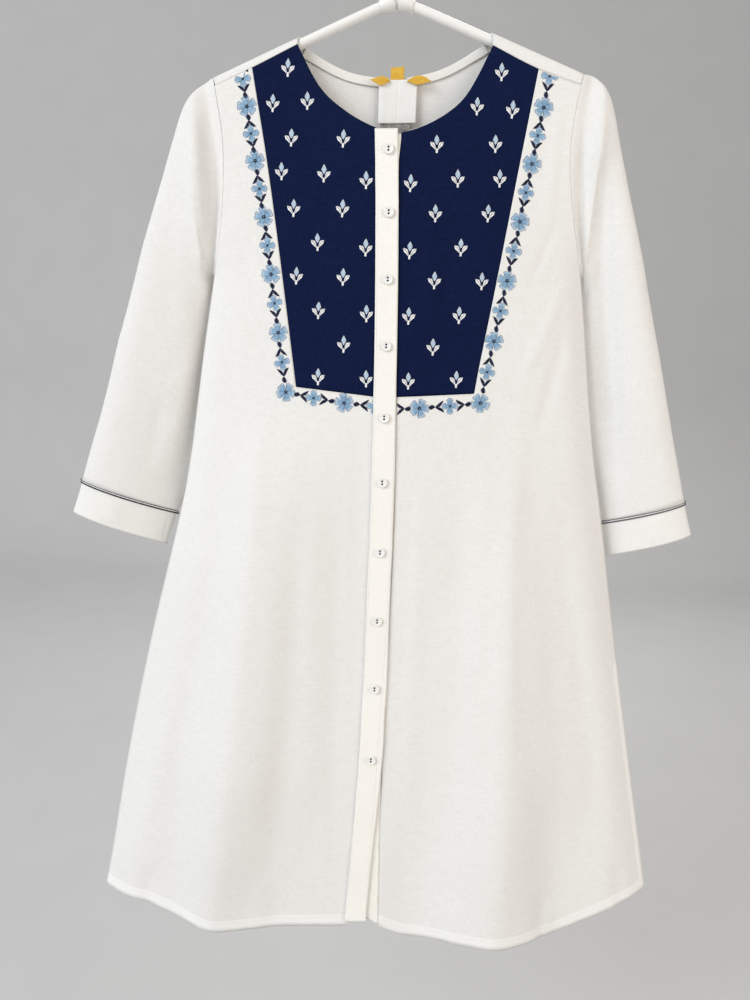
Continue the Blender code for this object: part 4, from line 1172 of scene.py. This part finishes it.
# widths and heights of a flower's stitches
flowerStitch = {"petal": 0.00095, "edge": 0.00055, "side": 0.00038, "edgeLift": 0.00075, "edgeTone": -0.95,
                "ray": 0.00062, "rayLift": 0.00120, "ring": 0.00100, "heartLift": 0.00150}
flowerShapes = {
    "small": {"petals": 4, "threads": 9, "inner": 0.0008, "outer": 0.0079, "wide": 0.0068,
              "notch": -0.05, "corner": 0.22, "rayFrom": 0.0, "rayTo": 0.0021, "ring": 0.0,
              "heart": 0.0010, "heartWide": 0.0018},
    "large": {"petals": 5, "threads": 10, "inner": 0.0012, "outer": 0.0098, "wide": 0.0085,
              "notch": 0.07, "corner": 0.14, "rayFrom": 0.0012, "rayTo": 0.0027, "ring": 0.0013,
              "heart": 0.0006, "heartWide": 0.0011},
}
# how unevenly a hand lays them: degrees of turn, shares of reach and tone
flowerHand = {"petalTurn": 4.0, "reach": 0.05, "tone": 0.12, "threadTone": 0.20, "lean": 9.0}
petalForm = {"swell": 0.6, "fill": 0.96, "root": 0.0010, "sideFrom": 1.6, "sideRoot": 0.0012}


def sewPetal(motif, sewing, angle, shape, reach, tone):
    # a fan of long stitches from the centre to a blunt end, with a darker line around it
    def place(share, out=1.0):
        blunt = 1.0 - shape["notch"] * max(0.0, 1.0 - abs(share) / 0.5) - shape["corner"] * abs(share) ** 3
        return turned(reach * blunt * out, share * shape["wide"] * 0.5 * out ** form["swell"], angle)

    size, form = flowerStitch, petalForm
    count = shape["threads"]
    for number in range(count):
        share = 2.0 * number / (count - 1) - 1.0
        shade = tone + flowerHand["threadTone"] * flicker(number * 1.7 + angle * 9.0)
        start = turned(shape["inner"], share * form["root"], angle)
        motif.sew(sewing, start, place(share, form["fill"]), size["petal"], stitchLift, shade, 0.25)
    ends = [place(share) for share in (-1.0, -0.5, 0.0, 0.5, 1.0)]
    dark = tone + size["edgeTone"]
    for a, b in zip(ends, ends[1:]):
        motif.sew(sewing, a, b, size["edge"], size["edgeLift"], dark, 0.2)
    for end, side in ((ends[0], -1.0), (ends[-1], 1.0)):
        root = turned(shape["inner"] * form["sideFrom"], side * form["sideRoot"], angle)
        motif.sew(sewing, root, end, size["side"], size["edgeLift"], dark, 0.2)


def sewFlower(x, z, kind, angle, number):
    motif = Motif(x, z, angle)
    shape = flowerShapes[kind]
    size, hand = flowerStitch, flowerHand
    step = 2.0 * math.pi / shape["petals"]
    for petal in range(shape["petals"]):
        turn = step * petal + math.radians(hand["petalTurn"]) * flicker(number * 3.3 + petal)
        reach = shape["outer"] * (1.0 + hand["reach"] * flicker(number + petal * 2.1))
        tone = 0.55 + hand["tone"] * flicker(number * 5.0 + petal)
        sewPetal(motif, blueSewing, turn, shape, reach, tone)
    for ray in range(shape["petals"]):
        turn = step * (ray + 0.5)
        start, end = turned(shape["rayFrom"], 0.0, turn), turned(shape["rayTo"], 0.0, turn)
        motif.sew(navySewing, start, end, size["ray"], size["rayLift"], 0.5, 0.7)
    left, right = (-shape["heart"], 0.0), (shape["heart"], 0.0)
    if shape["ring"]:
        for part in range(8):
            start = turned(shape["ring"], 0.0, math.pi * part / 4)
            end = turned(shape["ring"], 0.0, math.pi * (part + 1.15) / 4)
            motif.sew(navySewing, start, end, size["ring"], size["heartLift"], 0.4, 0.1)
        motif.sew(blueSewing, left, right, shape["heartWide"], size["heartLift"], 1.0)
    else:
        motif.sew(navySewing, left, right, shape["heartWide"], size["heartLift"], 0.3, 0.5)


# the bud and the forked leaves between two flowers that are "pitch" apart
borderLink = {"pitch": 0.0300, "bud": 0.0124, "budLong": 0.0066, "budWide": 0.0054, "sway": 0.0005,
              "stem": 0.00080, "stemLift": 0.00050, "fork": 0.0164, "tip": 0.0238, "open": 0.0062,
              "leafWide": 0.0035, "leafBelly": 0.0009}

# where the border runs beside and below each navy panel, and how the flowers are spaced along it
borders = [
    {"side": -1, "line": [(-0.1506, -0.1725), (-0.1274, -0.3028), (-0.1014, -0.4786)], "flowers": 12,
     "first": 0.0255, "last": 0.0306, "foot": [(-0.0722, -0.4837), (-0.0403, -0.4877), (-0.0083, -0.4902)],
     "rise": 0.0008, "dot": (-0.1463, -0.1640)},
    {"side": 1, "line": [(0.1543, -0.1635), (0.1324, -0.2995), (0.1012, -0.4831)], "flowers": 12,
     "first": 0.0262, "last": 0.0320, "foot": [(0.0697, -0.4873), (0.0379, -0.4905), (0.0085, -0.4925)],
     "rise": 0.0038, "dot": None},
]


def walk(line, far):
    for a, b in zip(line, line[1:]):
        length = math.dist(a, b)
        if far <= length or b == line[-1]:
            t = far / length
            return (a[0] + (b[0] - a[0]) * t, a[1] + (b[1] - a[1]) * t)
        far -= length


def sewLink(large, small, number):
    # a bud next to the large flower, then a stem that forks into two leaves toward the small one
    angle = math.atan2(small[1] - large[1], small[0] - large[0])
    link = borderLink
    gap = math.dist(large, small) / link["pitch"]
    motif = Motif(*large, angle)
    sway = link["sway"] * flicker(number * 2.9)
    bud, fork, tip = link["bud"] * gap, link["fork"] * gap, link["tip"] * gap
    root, end = (bud - link["budLong"] / 2, sway), (bud + link["budLong"] / 2, sway)
    sewLeaf(motif, navySewing, root, end, link["budWide"], 0.25, tone=0.3, fullness=0.75)
    root, end = (bud + link["budLong"] * 0.35, sway), (fork + 0.0006, 0.0)
    motif.sew(navySewing, root, end, link["stem"], link["stemLift"], 0.4)
    for side in (-1.0, 1.0):
        root, end = (fork - 0.0004, side * 0.0002), (tip, side * link["open"])
        sewLeaf(motif, navySewing, root, end, link["leafWide"], 0.5, tone=0.35 + 0.1 * side,
                belly=-side * link["leafBelly"])


def layBorder(border):
    line, first, last = border["line"], border["first"], border["last"]
    gaps = border["flowers"] - 1
    steps = [first + (last - first) * k / (gaps - 1) for k in range(gaps)]
    scale = sum(math.dist(a, b) for a, b in zip(line, line[1:])) / sum(steps)
    places, far = [], 0.0
    for step in [0.0] + steps:
        far += step * scale
        places.append(walk(line, far))
    places[0] = (places[0][0], places[0][1] + border["rise"])
    places += border["foot"]
    for number, (x, z) in enumerate(places):
        ahead = places[min(number + 1, len(places) - 1)]
        behind = places[max(number - 1, 0)]
        angle = math.atan2(ahead[1] - behind[1], ahead[0] - behind[0])
        lean = math.radians(flowerHand["lean"]) * flicker(number * 1.9 + border["side"])
        if number % 2:
            sewFlower(x, z, "large", angle + lean + math.pi, number + 20 * border["side"])
        elif number < len(places) - 1:
            sewFlower(x, z, "small", angle + lean, number + 20 * border["side"])
        elif border["side"] < 0:
            sewFlower(x, z, "small", angle, number)
    for number in range(len(places) - 1):
        pair = (places[number], places[number + 1])
        sewLink(*(pair if number % 2 else pair[::-1]), number)
    if border["dot"]:
        Motif(*border["dot"], 0.0).sew(navySewing, (-0.0012, 0.0), (0.0012, 0.0), 0.0024, 0.0010, 0.4)


for border in borders:
    layBorder(border)

sprigShape = {"stem": 0.0042, "stemWide": 0.0013, "stemLift": 0.00055, "leafRoot": (0.0028, 0.0009),
              "leafTip": (0.0106, 0.0068), "leafWide": 0.0044, "leafBelly": 0.0008, "vein": 0.00030,
              "budRoot": 0.0080, "budTip": 0.0168, "budWide": 0.0050, "budBelly": 0.50, "middle": 0.0084,
              "edgeLift": 0.0005, "edgeOut": 0.48, "upperEdge": 0.00055, "lowerEdge": 0.00045}
sprigHand = {"turn": 2.5, "across": 0.0006, "down": 0.0007}   # how unevenly they are placed, turn in degrees

# columns of sprigs, each a half drop from its neighbour: foot of the lean, first height, pitch and count
sprigColumns = [
    {"x": -0.1055, "lean": 0.066, "top": -0.1603, "pitch": 0.0670, "count": 4},
    {"x": -0.1198, "lean": 0.158, "top": -0.1941, "pitch": 0.0658, "count": 2},
    {"x": -0.0858, "lean": 0.274, "top": -0.1917, "pitch": 0.0685, "count": 2},
    {"x": -0.0713, "lean": 0.024, "top": -0.3277, "pitch": 0.0672, "count": 3},
    {"x": -0.0492, "lean": 0.031, "top": -0.2272, "pitch": 0.0672, "count": 4},
    {"x": -0.0246, "lean": 0.032, "top": -0.2660, "pitch": 0.0655, "count": 4},
    {"x": 0.0205, "lean": 0.024, "top": -0.2675, "pitch": 0.0653, "count": 4},
    {"x": 0.0450, "lean": 0.022, "top": -0.2291, "pitch": 0.0665, "count": 4},
    {"x": 0.0674, "lean": 0.091, "top": -0.2612, "pitch": 0.0670, "count": 2},
    {"x": 0.0746, "lean": 0.002, "top": -0.3947, "pitch": 0.0656, "count": 2},
    {"x": 0.0833, "lean": 0.0, "top": -0.1912, "pitch": 0.0670, "count": 1},
    {"x": 0.1062, "lean": -0.047, "top": -0.1589, "pitch": 0.0674, "count": 4},
    {"x": 0.1195, "lean": -0.147, "top": -0.1933, "pitch": 0.0660, "count": 2},
]


def sewSprig(x, z, number):
    shape = sprigShape
    motif = Motif(x, z, math.radians(90.0 + sprigHand["turn"] * flicker(number * 2.3)))
    foot, lift = -shape["middle"], shape["edgeLift"]
    for side in (-1.0, 1.0):
        start, end = (foot, side * 0.0005), (foot + shape["stem"], side * 0.0004)
        motif.sew(whiteSewing, start, end, shape["stemWide"], shape["stemLift"], 0.8, 0.1)
        root = (foot + shape["leafRoot"][0], side * shape["leafRoot"][1])
        tip = (foot + shape["leafTip"][0], side * shape["leafTip"][1])
        sewLeaf(motif, whiteSewing, root, tip, shape["leafWide"], 0.7, split=shape["vein"],
                belly=-side * shape["leafBelly"], tone=0.75, kite=0.50)
    root, tip = foot + shape["budRoot"], foot + shape["budTip"]
    sewLeaf(motif, budSewing, (root, 0.0), (tip, 0.0), shape["budWide"], 0.3, kite=shape["budBelly"])
    belly = foot + mixed(shape["budRoot"], shape["budTip"], shape["budBelly"])
    for side in (-1.0, 1.0):
        corner = (belly, side * shape["budWide"] * shape["edgeOut"])
        motif.sew(whiteSewing, corner, (tip + 0.0004, side * 0.0001), shape["upperEdge"], lift, 0.8)
        motif.sew(whiteSewing, (root, side * 0.0002), corner, shape["lowerEdge"], lift, 0.6)


number = 0
for column in sprigColumns:
    for drop in range(column["count"]):
        z = column["top"] - column["pitch"] * drop
        x = column["x"] + column["lean"] * (column["top"] - z)
        x += sprigHand["across"] * flicker(number * 1.3)
        z += sprigHand["down"] * flicker(number * 2.7 + 5.0)
        sewSprig(x, z, number)
        number += 1

for sewing in (blueSewing, navySewing, whiteSewing, budSewing):
    sewing.finish()


# stitching along the edges: short stitches in a line, let a little into the cloth

edgeSewing = Sewing("edgeStitches", "sewingThread", "off_white_cloth")
seamStitch = {"pitch": 0.0030, "long": 0.0024, "wide": 0.00042, "lift": 0.00026,
              "hem": 0.0104, "hemStep": 0.006, "placketSide": 0.0104, "placketTop": -0.2215,
              "placketFoot": -1.0760, "placketStep": 0.0095,
              "footSeam": [(-0.0200, -1.0655), (-0.0010, -1.0655)]}


def paced(path, pitch):
    # places an even pitch apart along a path of points
    total = sum((b - a).length for a, b in zip(path, path[1:]))
    count = max(1, round(total / pitch))
    places, leg, start = [], 0, 0.0
    for number in range(count + 1):
        far = total * number / count
        while leg < len(path) - 2 and far > start + (path[leg + 1] - path[leg]).length:
            start += (path[leg + 1] - path[leg]).length
            leg += 1
        run = path[leg + 1] - path[leg]
        places.append(path[leg] + run * min(1.0, (far - start) / max(run.length, 1e-9)))
    return places


def sewLine(surface, path, away=-1.0):
    stitch = seamStitch
    places = paced([Vector((x, 0.0, z)) for x, z in path], stitch["pitch"])
    share = stitch["long"] / stitch["pitch"]
    for number, (a, b) in enumerate(zip(places, places[1:])):
        b = a + (b - a) * share
        start, normal = castOn(surface, a.x, a.z, away)
        end, other = castOn(surface, b.x, b.z, away)
        if start is None or end is None:
            continue
        normal = (normal + other).normalized()
        if normal.y * away < 0:
            normal.negate()
        tone = 0.5 + 0.2 * flicker(number * 1.1)
        edgeSewing.stitch(start, end, normal, stitch["wide"], stitch["lift"], tone, 0.2)


def hemPath(node, fromX, toX):
    # a line of even height above the lower edge
    low = {}
    for vert in tops[node].verts:
        if vert.is_boundary and vert.co.z < hemTop and fromX < vert.co.x < toX:
            spot = round(vert.co.x / seamStitch["hemStep"])
            low[spot] = min(low.get(spot, 0.0), vert.co.z)
    return [(spot * seamStitch["hemStep"], low[spot] + seamStitch["hem"]) for spot in sorted(low)]


hemSeams = {"front_right": (-0.305, -0.022), "front_left": (0.020, 0.318), "back": (-0.305, 0.318)}

placketSurface = makeSurface(["placket_over"])
backSurface = makeSurface(["back"])
placketSteps = int((seamStitch["placketTop"] - seamStitch["placketFoot"]) / seamStitch["placketStep"]) + 1
heights = [seamStitch["placketTop"] - seamStitch["placketStep"] * step for step in range(placketSteps)]
for off in (-seamStitch["placketSide"], seamStitch["placketSide"]):
    sewLine(placketSurface, [(placketMiddle(z) + off, z) for z in heights])
sewLine(placketSurface, seamStitch["footSeam"])
for node in ("front_right", "front_left"):
    sewLine(frontSurface, hemPath(node, *hemSeams[node]))
sewLine(backSurface, hemPath("back", *hemSeams["back"]), away=1.0)
edgeSewing.finish()


# the narrow trim where each sleeve meets its cuff: a pale ground, a beaded line and a finer one

trimLook = {
    "bead": 0.00230, "beadWide": 0.00165, "beadLift": 0.00070, "slant": 0.00045, "beadRise": 0.0007,
    "out": 0.0004,
    "line": 0.00230, "lineWide": 0.00090, "lineLift": 0.00070, "lineRise": 0.0032, "lineShare": 0.92,
    "hatch": 0.00180, "hatchWide": 0.00050, "hatchLift": 0.00025, "hatchFrom": 0.15, "hatchTo": 0.70}

beadSewing = Sewing("cuffBeadStitches", "beadThread", "navy_trim_cord")
lineSewing = Sewing("cuffLineStitches", "navyLineAndHoleShadeThread", "navy_trim_cord")
hatchSewing = Sewing("cuffHatchStitches", "paleHatchThread", "navy_trim_cord")


def orderedRims(mesh):
    # both open edges of a tube of cloth as rings of places, the upper one first
    left = [edge for edge in mesh.edges if edge.is_boundary]
    rings = []
    while left:
        ring, step = list(left[0].verts), left[0]
        while step:
            left.remove(step)
            step = next((edge for edge in ring[-1].link_edges if edge in left), None)
            if step:
                ring.append(step.other_vert(ring[-1]))
        rings.append([vert.co.copy() for vert in ring])
    rings.sort(key=lambda ring: -sum(point.z for point in ring) / len(ring))
    return rings


def layTrim(node):
    look = trimLook
    ground = tops[node]
    surface = BVHTree.FromBMesh(ground)
    upper, lower = orderedRims(ground)[:2]

    def outward(point):
        return surface.find_nearest(point)[1]

    beads = paced(lower, look["bead"])
    slant, rise = Vector((0.0, 0.0, look["slant"])), Vector((0.0, 0.0, look["beadRise"]))
    for number, (a, b) in enumerate(zip(beads, beads[1:])):
        normal = outward(a)
        off = normal * look["out"]
        beadSewing.stitch(a - slant + rise + off, b + slant + rise + off, normal,
                          look["beadWide"], look["beadLift"], 0.25 + 0.25 * flicker(number), 0.75)
    dashes = paced([point + Vector((0.0, 0.0, look["lineRise"])) for point in lower], look["line"])
    for number, (a, b) in enumerate(zip(dashes, dashes[1:])):
        normal = outward(a)
        off = normal * look["out"]
        lineSewing.stitch(a + off, a + off + (b - a) * look["lineShare"], normal,
                          look["lineWide"], look["lineLift"], 0.5 + 0.3 * flicker(number), 0.3)
    tree = treeOf(lower)
    for number, a in enumerate(paced(upper, look["hatch"])[:-1]):
        down = tree.find(a)[0] - a
        hatchSewing.stitch(a + down * look["hatchFrom"], a + down * look["hatchTo"], outward(a),
                           look["hatchWide"], look["hatchLift"], 0.3 + 0.4 * flicker(number), 0.2)


trimGround = {"slot": "navy_trim_cord", "material": "bandCotton", "levels": 2, "bend": 50, "wall": 0.0004,
              "push": sitClose}
for name, node, side, shape in (("cuffTrimRightGround", "cuff_trim_right", -1, turnCuff),
                                ("cuffTrimLeftGround", "cuff_trim_left", 1, None)):
    makeClothPiece({**trimGround, "name": name, "node": node, "shape": shape, "place": sleevePlace(side)})
    layTrim(node)
beadSewing.finish()
lineSewing.finish()
hatchSewing.finish()


# buttons: a turned disc with a rolled rim and two holes, the holes' walls and floors near black as painted
# shade

buttonLook = {
    "radius": 0.0054, "height": 0.0022, "round": 40,
    "hole": 0.00105, "apart": 0.0029, "floor": 0.0003, "holeRound": 16, "cutter": 0.01,
    "profile": [(0.0, 0.60), (0.45, 0.61), (0.62, 0.65), (0.74, 0.80), (0.82, 0.88), (0.89, 0.89),
                (0.955, 0.78), (1.0, 0.52), (0.985, 0.30), (0.90, 0.10), (0.78, 0.0), (0.0, 0.0)],
    "thread": 0.00024, "threadSunk": 0.00062, "threadHalf": 0.00098, "threadRound": 8}


def makeButton(node):
    look = buttonLook
    low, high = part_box(node)
    seat = Vector(((low[0] + high[0]) / 2, high[1], (low[2] + high[2]) / 2))
    mesh = bmesh.new()
    dots = [mesh.verts.new((out * look["radius"], 0.0, up * look["height"])) for out, up in look["profile"]]
    outline = [mesh.edges.new(pair) for pair in zip(dots, dots[1:])]
    bmesh.ops.spin(mesh, geom=dots + outline, cent=(0, 0, 0), axis=(0, 0, 1), angle=2 * math.pi,
                   steps=look["round"], use_merge=True)
    bmesh.ops.remove_doubles(mesh, verts=mesh.verts, dist=merge)
    bmesh.ops.recalc_face_normals(mesh, faces=mesh.faces)
    for face in mesh.faces:
        face.smooth = True
    holes = bmesh.new()
    for step in (-0.5, 0.5):
        made = bmesh.ops.create_cone(holes, cap_ends=True, segments=look["holeRound"], radius1=look["hole"],
                                     radius2=look["hole"], depth=look["cutter"])["verts"]
        middle = look["floor"] + look["cutter"] / 2
        bmesh.ops.translate(holes, vec=(0.0, step * look["apart"], middle), verts=made)
    stand = Matrix(((1, 0, 0, 0), (0, 0, -1, 0), (0, 1, 0, 0), (0, 0, 0, 1)))
    for part in (mesh, holes):
        bmesh.ops.transform(part, matrix=Matrix.Translation(seat) @ stand, verts=part.verts)
    piece = meshPiece(node.replace("button_", "roundButton"), mesh, plastics["buttonPlastic"])
    # the holes' walls and floors take the near-black material: painted shade
    piece.data.materials.append(plastics["buttonHolePaintedShade"])
    cutter = meshPiece("holeCutter", holes, plastics["buttonHolePaintedShade"])
    cut = piece.modifiers.new("holes", "BOOLEAN")
    cut.object = cutter
    cut.solver = "EXACT"
    cut.material_mode = "TRANSFER"
    solid = bpy.data.meshes.new_from_object(piece.evaluated_get(bpy.context.evaluated_depsgraph_get()))
    piece.modifiers.clear()
    piece.data = solid
    bpy.data.objects.remove(cutter)
    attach(piece, "root")
    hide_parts(node)


buttonNodes = sorted(name for name in nodes if name.startswith("button_"))
for node in buttonNodes:
    makeButton(node)


def threadButtons():
    # a strand of thread low in each hole, in near-black thread: painted shade that keeps the holes dark
    look = buttonLook
    mesh = bmesh.new()
    across = Matrix.Rotation(math.radians(90), 4, "Y")
    for node in buttonNodes:
        low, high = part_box(node)
        for step in (-0.5, 0.5):
            made = bmesh.ops.create_cone(mesh, cap_ends=True, segments=look["threadRound"],
                                         radius1=look["thread"], radius2=look["thread"],
                                         depth=2 * look["threadHalf"])["verts"]
            height = (low[2] + high[2]) / 2 + step * look["apart"]
            hole = ((low[0] + high[0]) / 2, high[1] - look["threadSunk"], height)
            bmesh.ops.transform(mesh, matrix=Matrix.Translation(hole) @ across, verts=made)
    for face in mesh.faces:
        face.smooth = len(face.verts) == 4
    piece = meshPiece("buttonThreads", mesh, threads["navyLineAndHoleShadeThread"])
    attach(piece, "root")


threadButtons()


# hanger: the tube and the hook rounded off, and the fitting at the inner end of each arm

fittingLook = {"from": 0.0030, "to": 0.0165, "thin": 0.0062, "wide": 0.0092, "deep": 0.0058, "round": 32,
               "bevel": 0.0008, "bevelSteps": 3}


tubeLook = {"joinFace": 25, "joinShape": 60, "levels": 2}


def roundedCopy(name, node):
    mesh = readNode(node)
    bmesh.ops.join_triangles(mesh, faces=mesh.faces, angle_face_threshold=math.radians(tubeLook["joinFace"]),
                             angle_shape_threshold=math.radians(tubeLook["joinShape"]))
    mesh = smoothSkin(name, mesh, tubeLook["levels"])
    for face in mesh.faces:
        face.smooth = True
    piece = meshPiece(name, mesh, plastics["hangerPlastic"])
    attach(piece, "root")
    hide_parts(node)


armLine = {"top": -0.0911, "fall": 0.42, "round": 0.008, "tilt": 0.050}


def armHeight(x):
    return armLine["top"] - armLine["fall"] * math.hypot(x, armLine["round"]) + armLine["tilt"] * x


def makeFitting(name, side):
    look = fittingLook
    inner = Vector((side * look["from"], 0.0, armHeight(side * look["from"])))
    outer = Vector((side * look["to"], 0.0, armHeight(side * look["to"])))
    mesh = bmesh.new()
    bmesh.ops.create_cone(mesh, cap_ends=True, segments=look["round"], radius1=look["thin"],
                          radius2=look["wide"], depth=(inner - outer).length)
    bmesh.ops.scale(mesh, vec=(1.0, look["deep"] / look["thin"], 1.0), verts=mesh.verts)
    rims = [edge for edge in mesh.edges if edge.calc_face_angle() > math.radians(50)]
    bmesh.ops.bevel(mesh, geom=rims, affect="EDGES", offset=look["bevel"], segments=look["bevelSteps"],
                    profile=0.5, material=-1)
    lean = (inner - outer).to_track_quat("Z", "Y").to_matrix().to_4x4()
    bmesh.ops.transform(mesh, matrix=lean, verts=mesh.verts)
    bmesh.ops.translate(mesh, vec=(inner + outer) / 2, verts=mesh.verts)
    for face in mesh.faces:
        face.smooth = len(face.verts) < 5
    piece = meshPiece(name, mesh, plastics["hangerPlastic"])
    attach(piece, "root")


roundedCopy("hangerTube", "hanger_arms")
roundedCopy("hangerHook", "hanger_hook")
makeFitting("hangerFittingRight", -1.0)
makeFitting("hangerFittingLeft", 1.0)
print("trims, buttons and hanger made")


# camera, light and ground

view = {"place": (-0.00481, -0.815, -0.45215), "down": 9.884, "roll": 1.930, "lens": 27.0}

down, roll = math.radians(view["down"]), math.radians(view["roll"])
sideways = Vector((1.0, 0.0, 0.0))
below = Vector((0.0, -math.sin(down), -math.cos(down)))
camX = sideways * math.cos(roll) - below * math.sin(roll)
camY = -(sideways * math.sin(roll) + below * math.cos(roll))
camZ = camX.cross(camY)
cameraData = bpy.data.cameras.new("frontCamera")
cameraData.lens = view["lens"]
cameraData.sensor_width = 36.0
cameraData.clip_start = 0.01
camera = bpy.data.objects.new("frontCamera", cameraData)
camera.matrix_world = Matrix.Translation(view["place"]) @ Matrix((camX, camY, camZ)).transposed().to_4x4()
scene.collection.objects.link(camera)
scene.camera = camera

lights = [
    {"name": "keyLight", "place": (-4.4, -3.4, 1.9), "size": 3.4, "power": 276.0, "colour": (0.915, 0.96, 1)},
    {"name": "fillLight", "place": (2.2, -1.9, 0.1), "size": 2.4, "power": 40.0, "colour": (1.0, 0.91, 0.81)},
    {"name": "backLight", "place": (0.6, 2.0, 1.4), "size": 1.8, "power": 40.0, "colour": (1.0, 1.0, 1.0)},
]
for light in lights:
    lamp = bpy.data.lights.new(light["name"], "AREA")
    lamp.size = light["size"]
    lamp.energy = light["power"]
    lamp.color = light["colour"]
    holder = bpy.data.objects.new(light["name"], lamp)
    holder.location = light["place"]
    holder.rotation_mode = "QUATERNION"
    holder.rotation_quaternion = (Vector((0.0, 0.0, -0.6)) - Vector(light["place"])).to_track_quat("-Z", "Y")
    scene.collection.objects.link(holder)

room = {"colour": (0.838, 0.820, 0.808, 1.0), "strength": 0.54}
world = bpy.data.worlds.new("paleRoom")
world.use_nodes = True
background = world.node_tree.nodes["Background"]
background.inputs["Color"].default_value = room["colour"]
background.inputs["Strength"].default_value = room["strength"]
scene.world = world
scene.view_settings.view_transform = "Standard"

# the floor, which bends up into the wall behind
ground = {"level": -1.45, "far": 2.6, "wide": 7.0, "near": -4.0, "round": 0.9, "high": 4.5}
mesh = bmesh.new()
for vert in bmesh.ops.create_grid(mesh, x_segments=1, y_segments=1, size=1.0)["verts"]:
    depth = ground["far"] if vert.co.y > 0 else ground["near"]
    vert.co = Vector((vert.co.x * ground["wide"], depth, ground["level"]))
rim = [edge for edge in mesh.edges if all(vert.co.y > 0 for vert in edge.verts)]
centre = (0.0, ground["far"], ground["level"] + ground["round"])
bend = bmesh.ops.spin(mesh, geom=rim, cent=centre, axis=(1.0, 0.0, 0.0), angle=math.radians(90.0), steps=14,
                      use_duplicate=False)
top = [part for part in bend["geom_last"] if isinstance(part, bmesh.types.BMEdge)]
raised = bmesh.ops.extrude_edge_only(mesh, edges=top)["geom"]
raised = [part for part in raised if isinstance(part, bmesh.types.BMVert)]
bmesh.ops.translate(mesh, vec=(0.0, 0.0, ground["high"]), verts=raised)
bmesh.ops.recalc_face_normals(mesh, faces=mesh.faces)
for face in mesh.faces:
    face.smooth = True

paperLook = {"grain": 6.0, "dark": (0.500, 0.500, 0.498), "light": (0.540, 0.540, 0.535), "roughness": 0.9}
paper, tree, surface = newMaterial("palePaper")
grain = addNode(tree, "ShaderNodeTexNoise", {"Scale": paperLook["grain"], "Detail": 4.0})
place = addNode(tree, "ShaderNodeTexCoord")
wire(tree, place, "Object", grain, "Vector")
shade = blendNode(tree, paperLook["dark"], paperLook["light"])
wire(tree, grain, "Fac", shade, "Factor")
wire(tree, shade, "Result", surface, "Base Color")
surface.inputs["Roughness"].default_value = paperLook["roughness"]
floor = meshPiece("studioFloor", mesh, paper)
print("camera, light and floor placed")
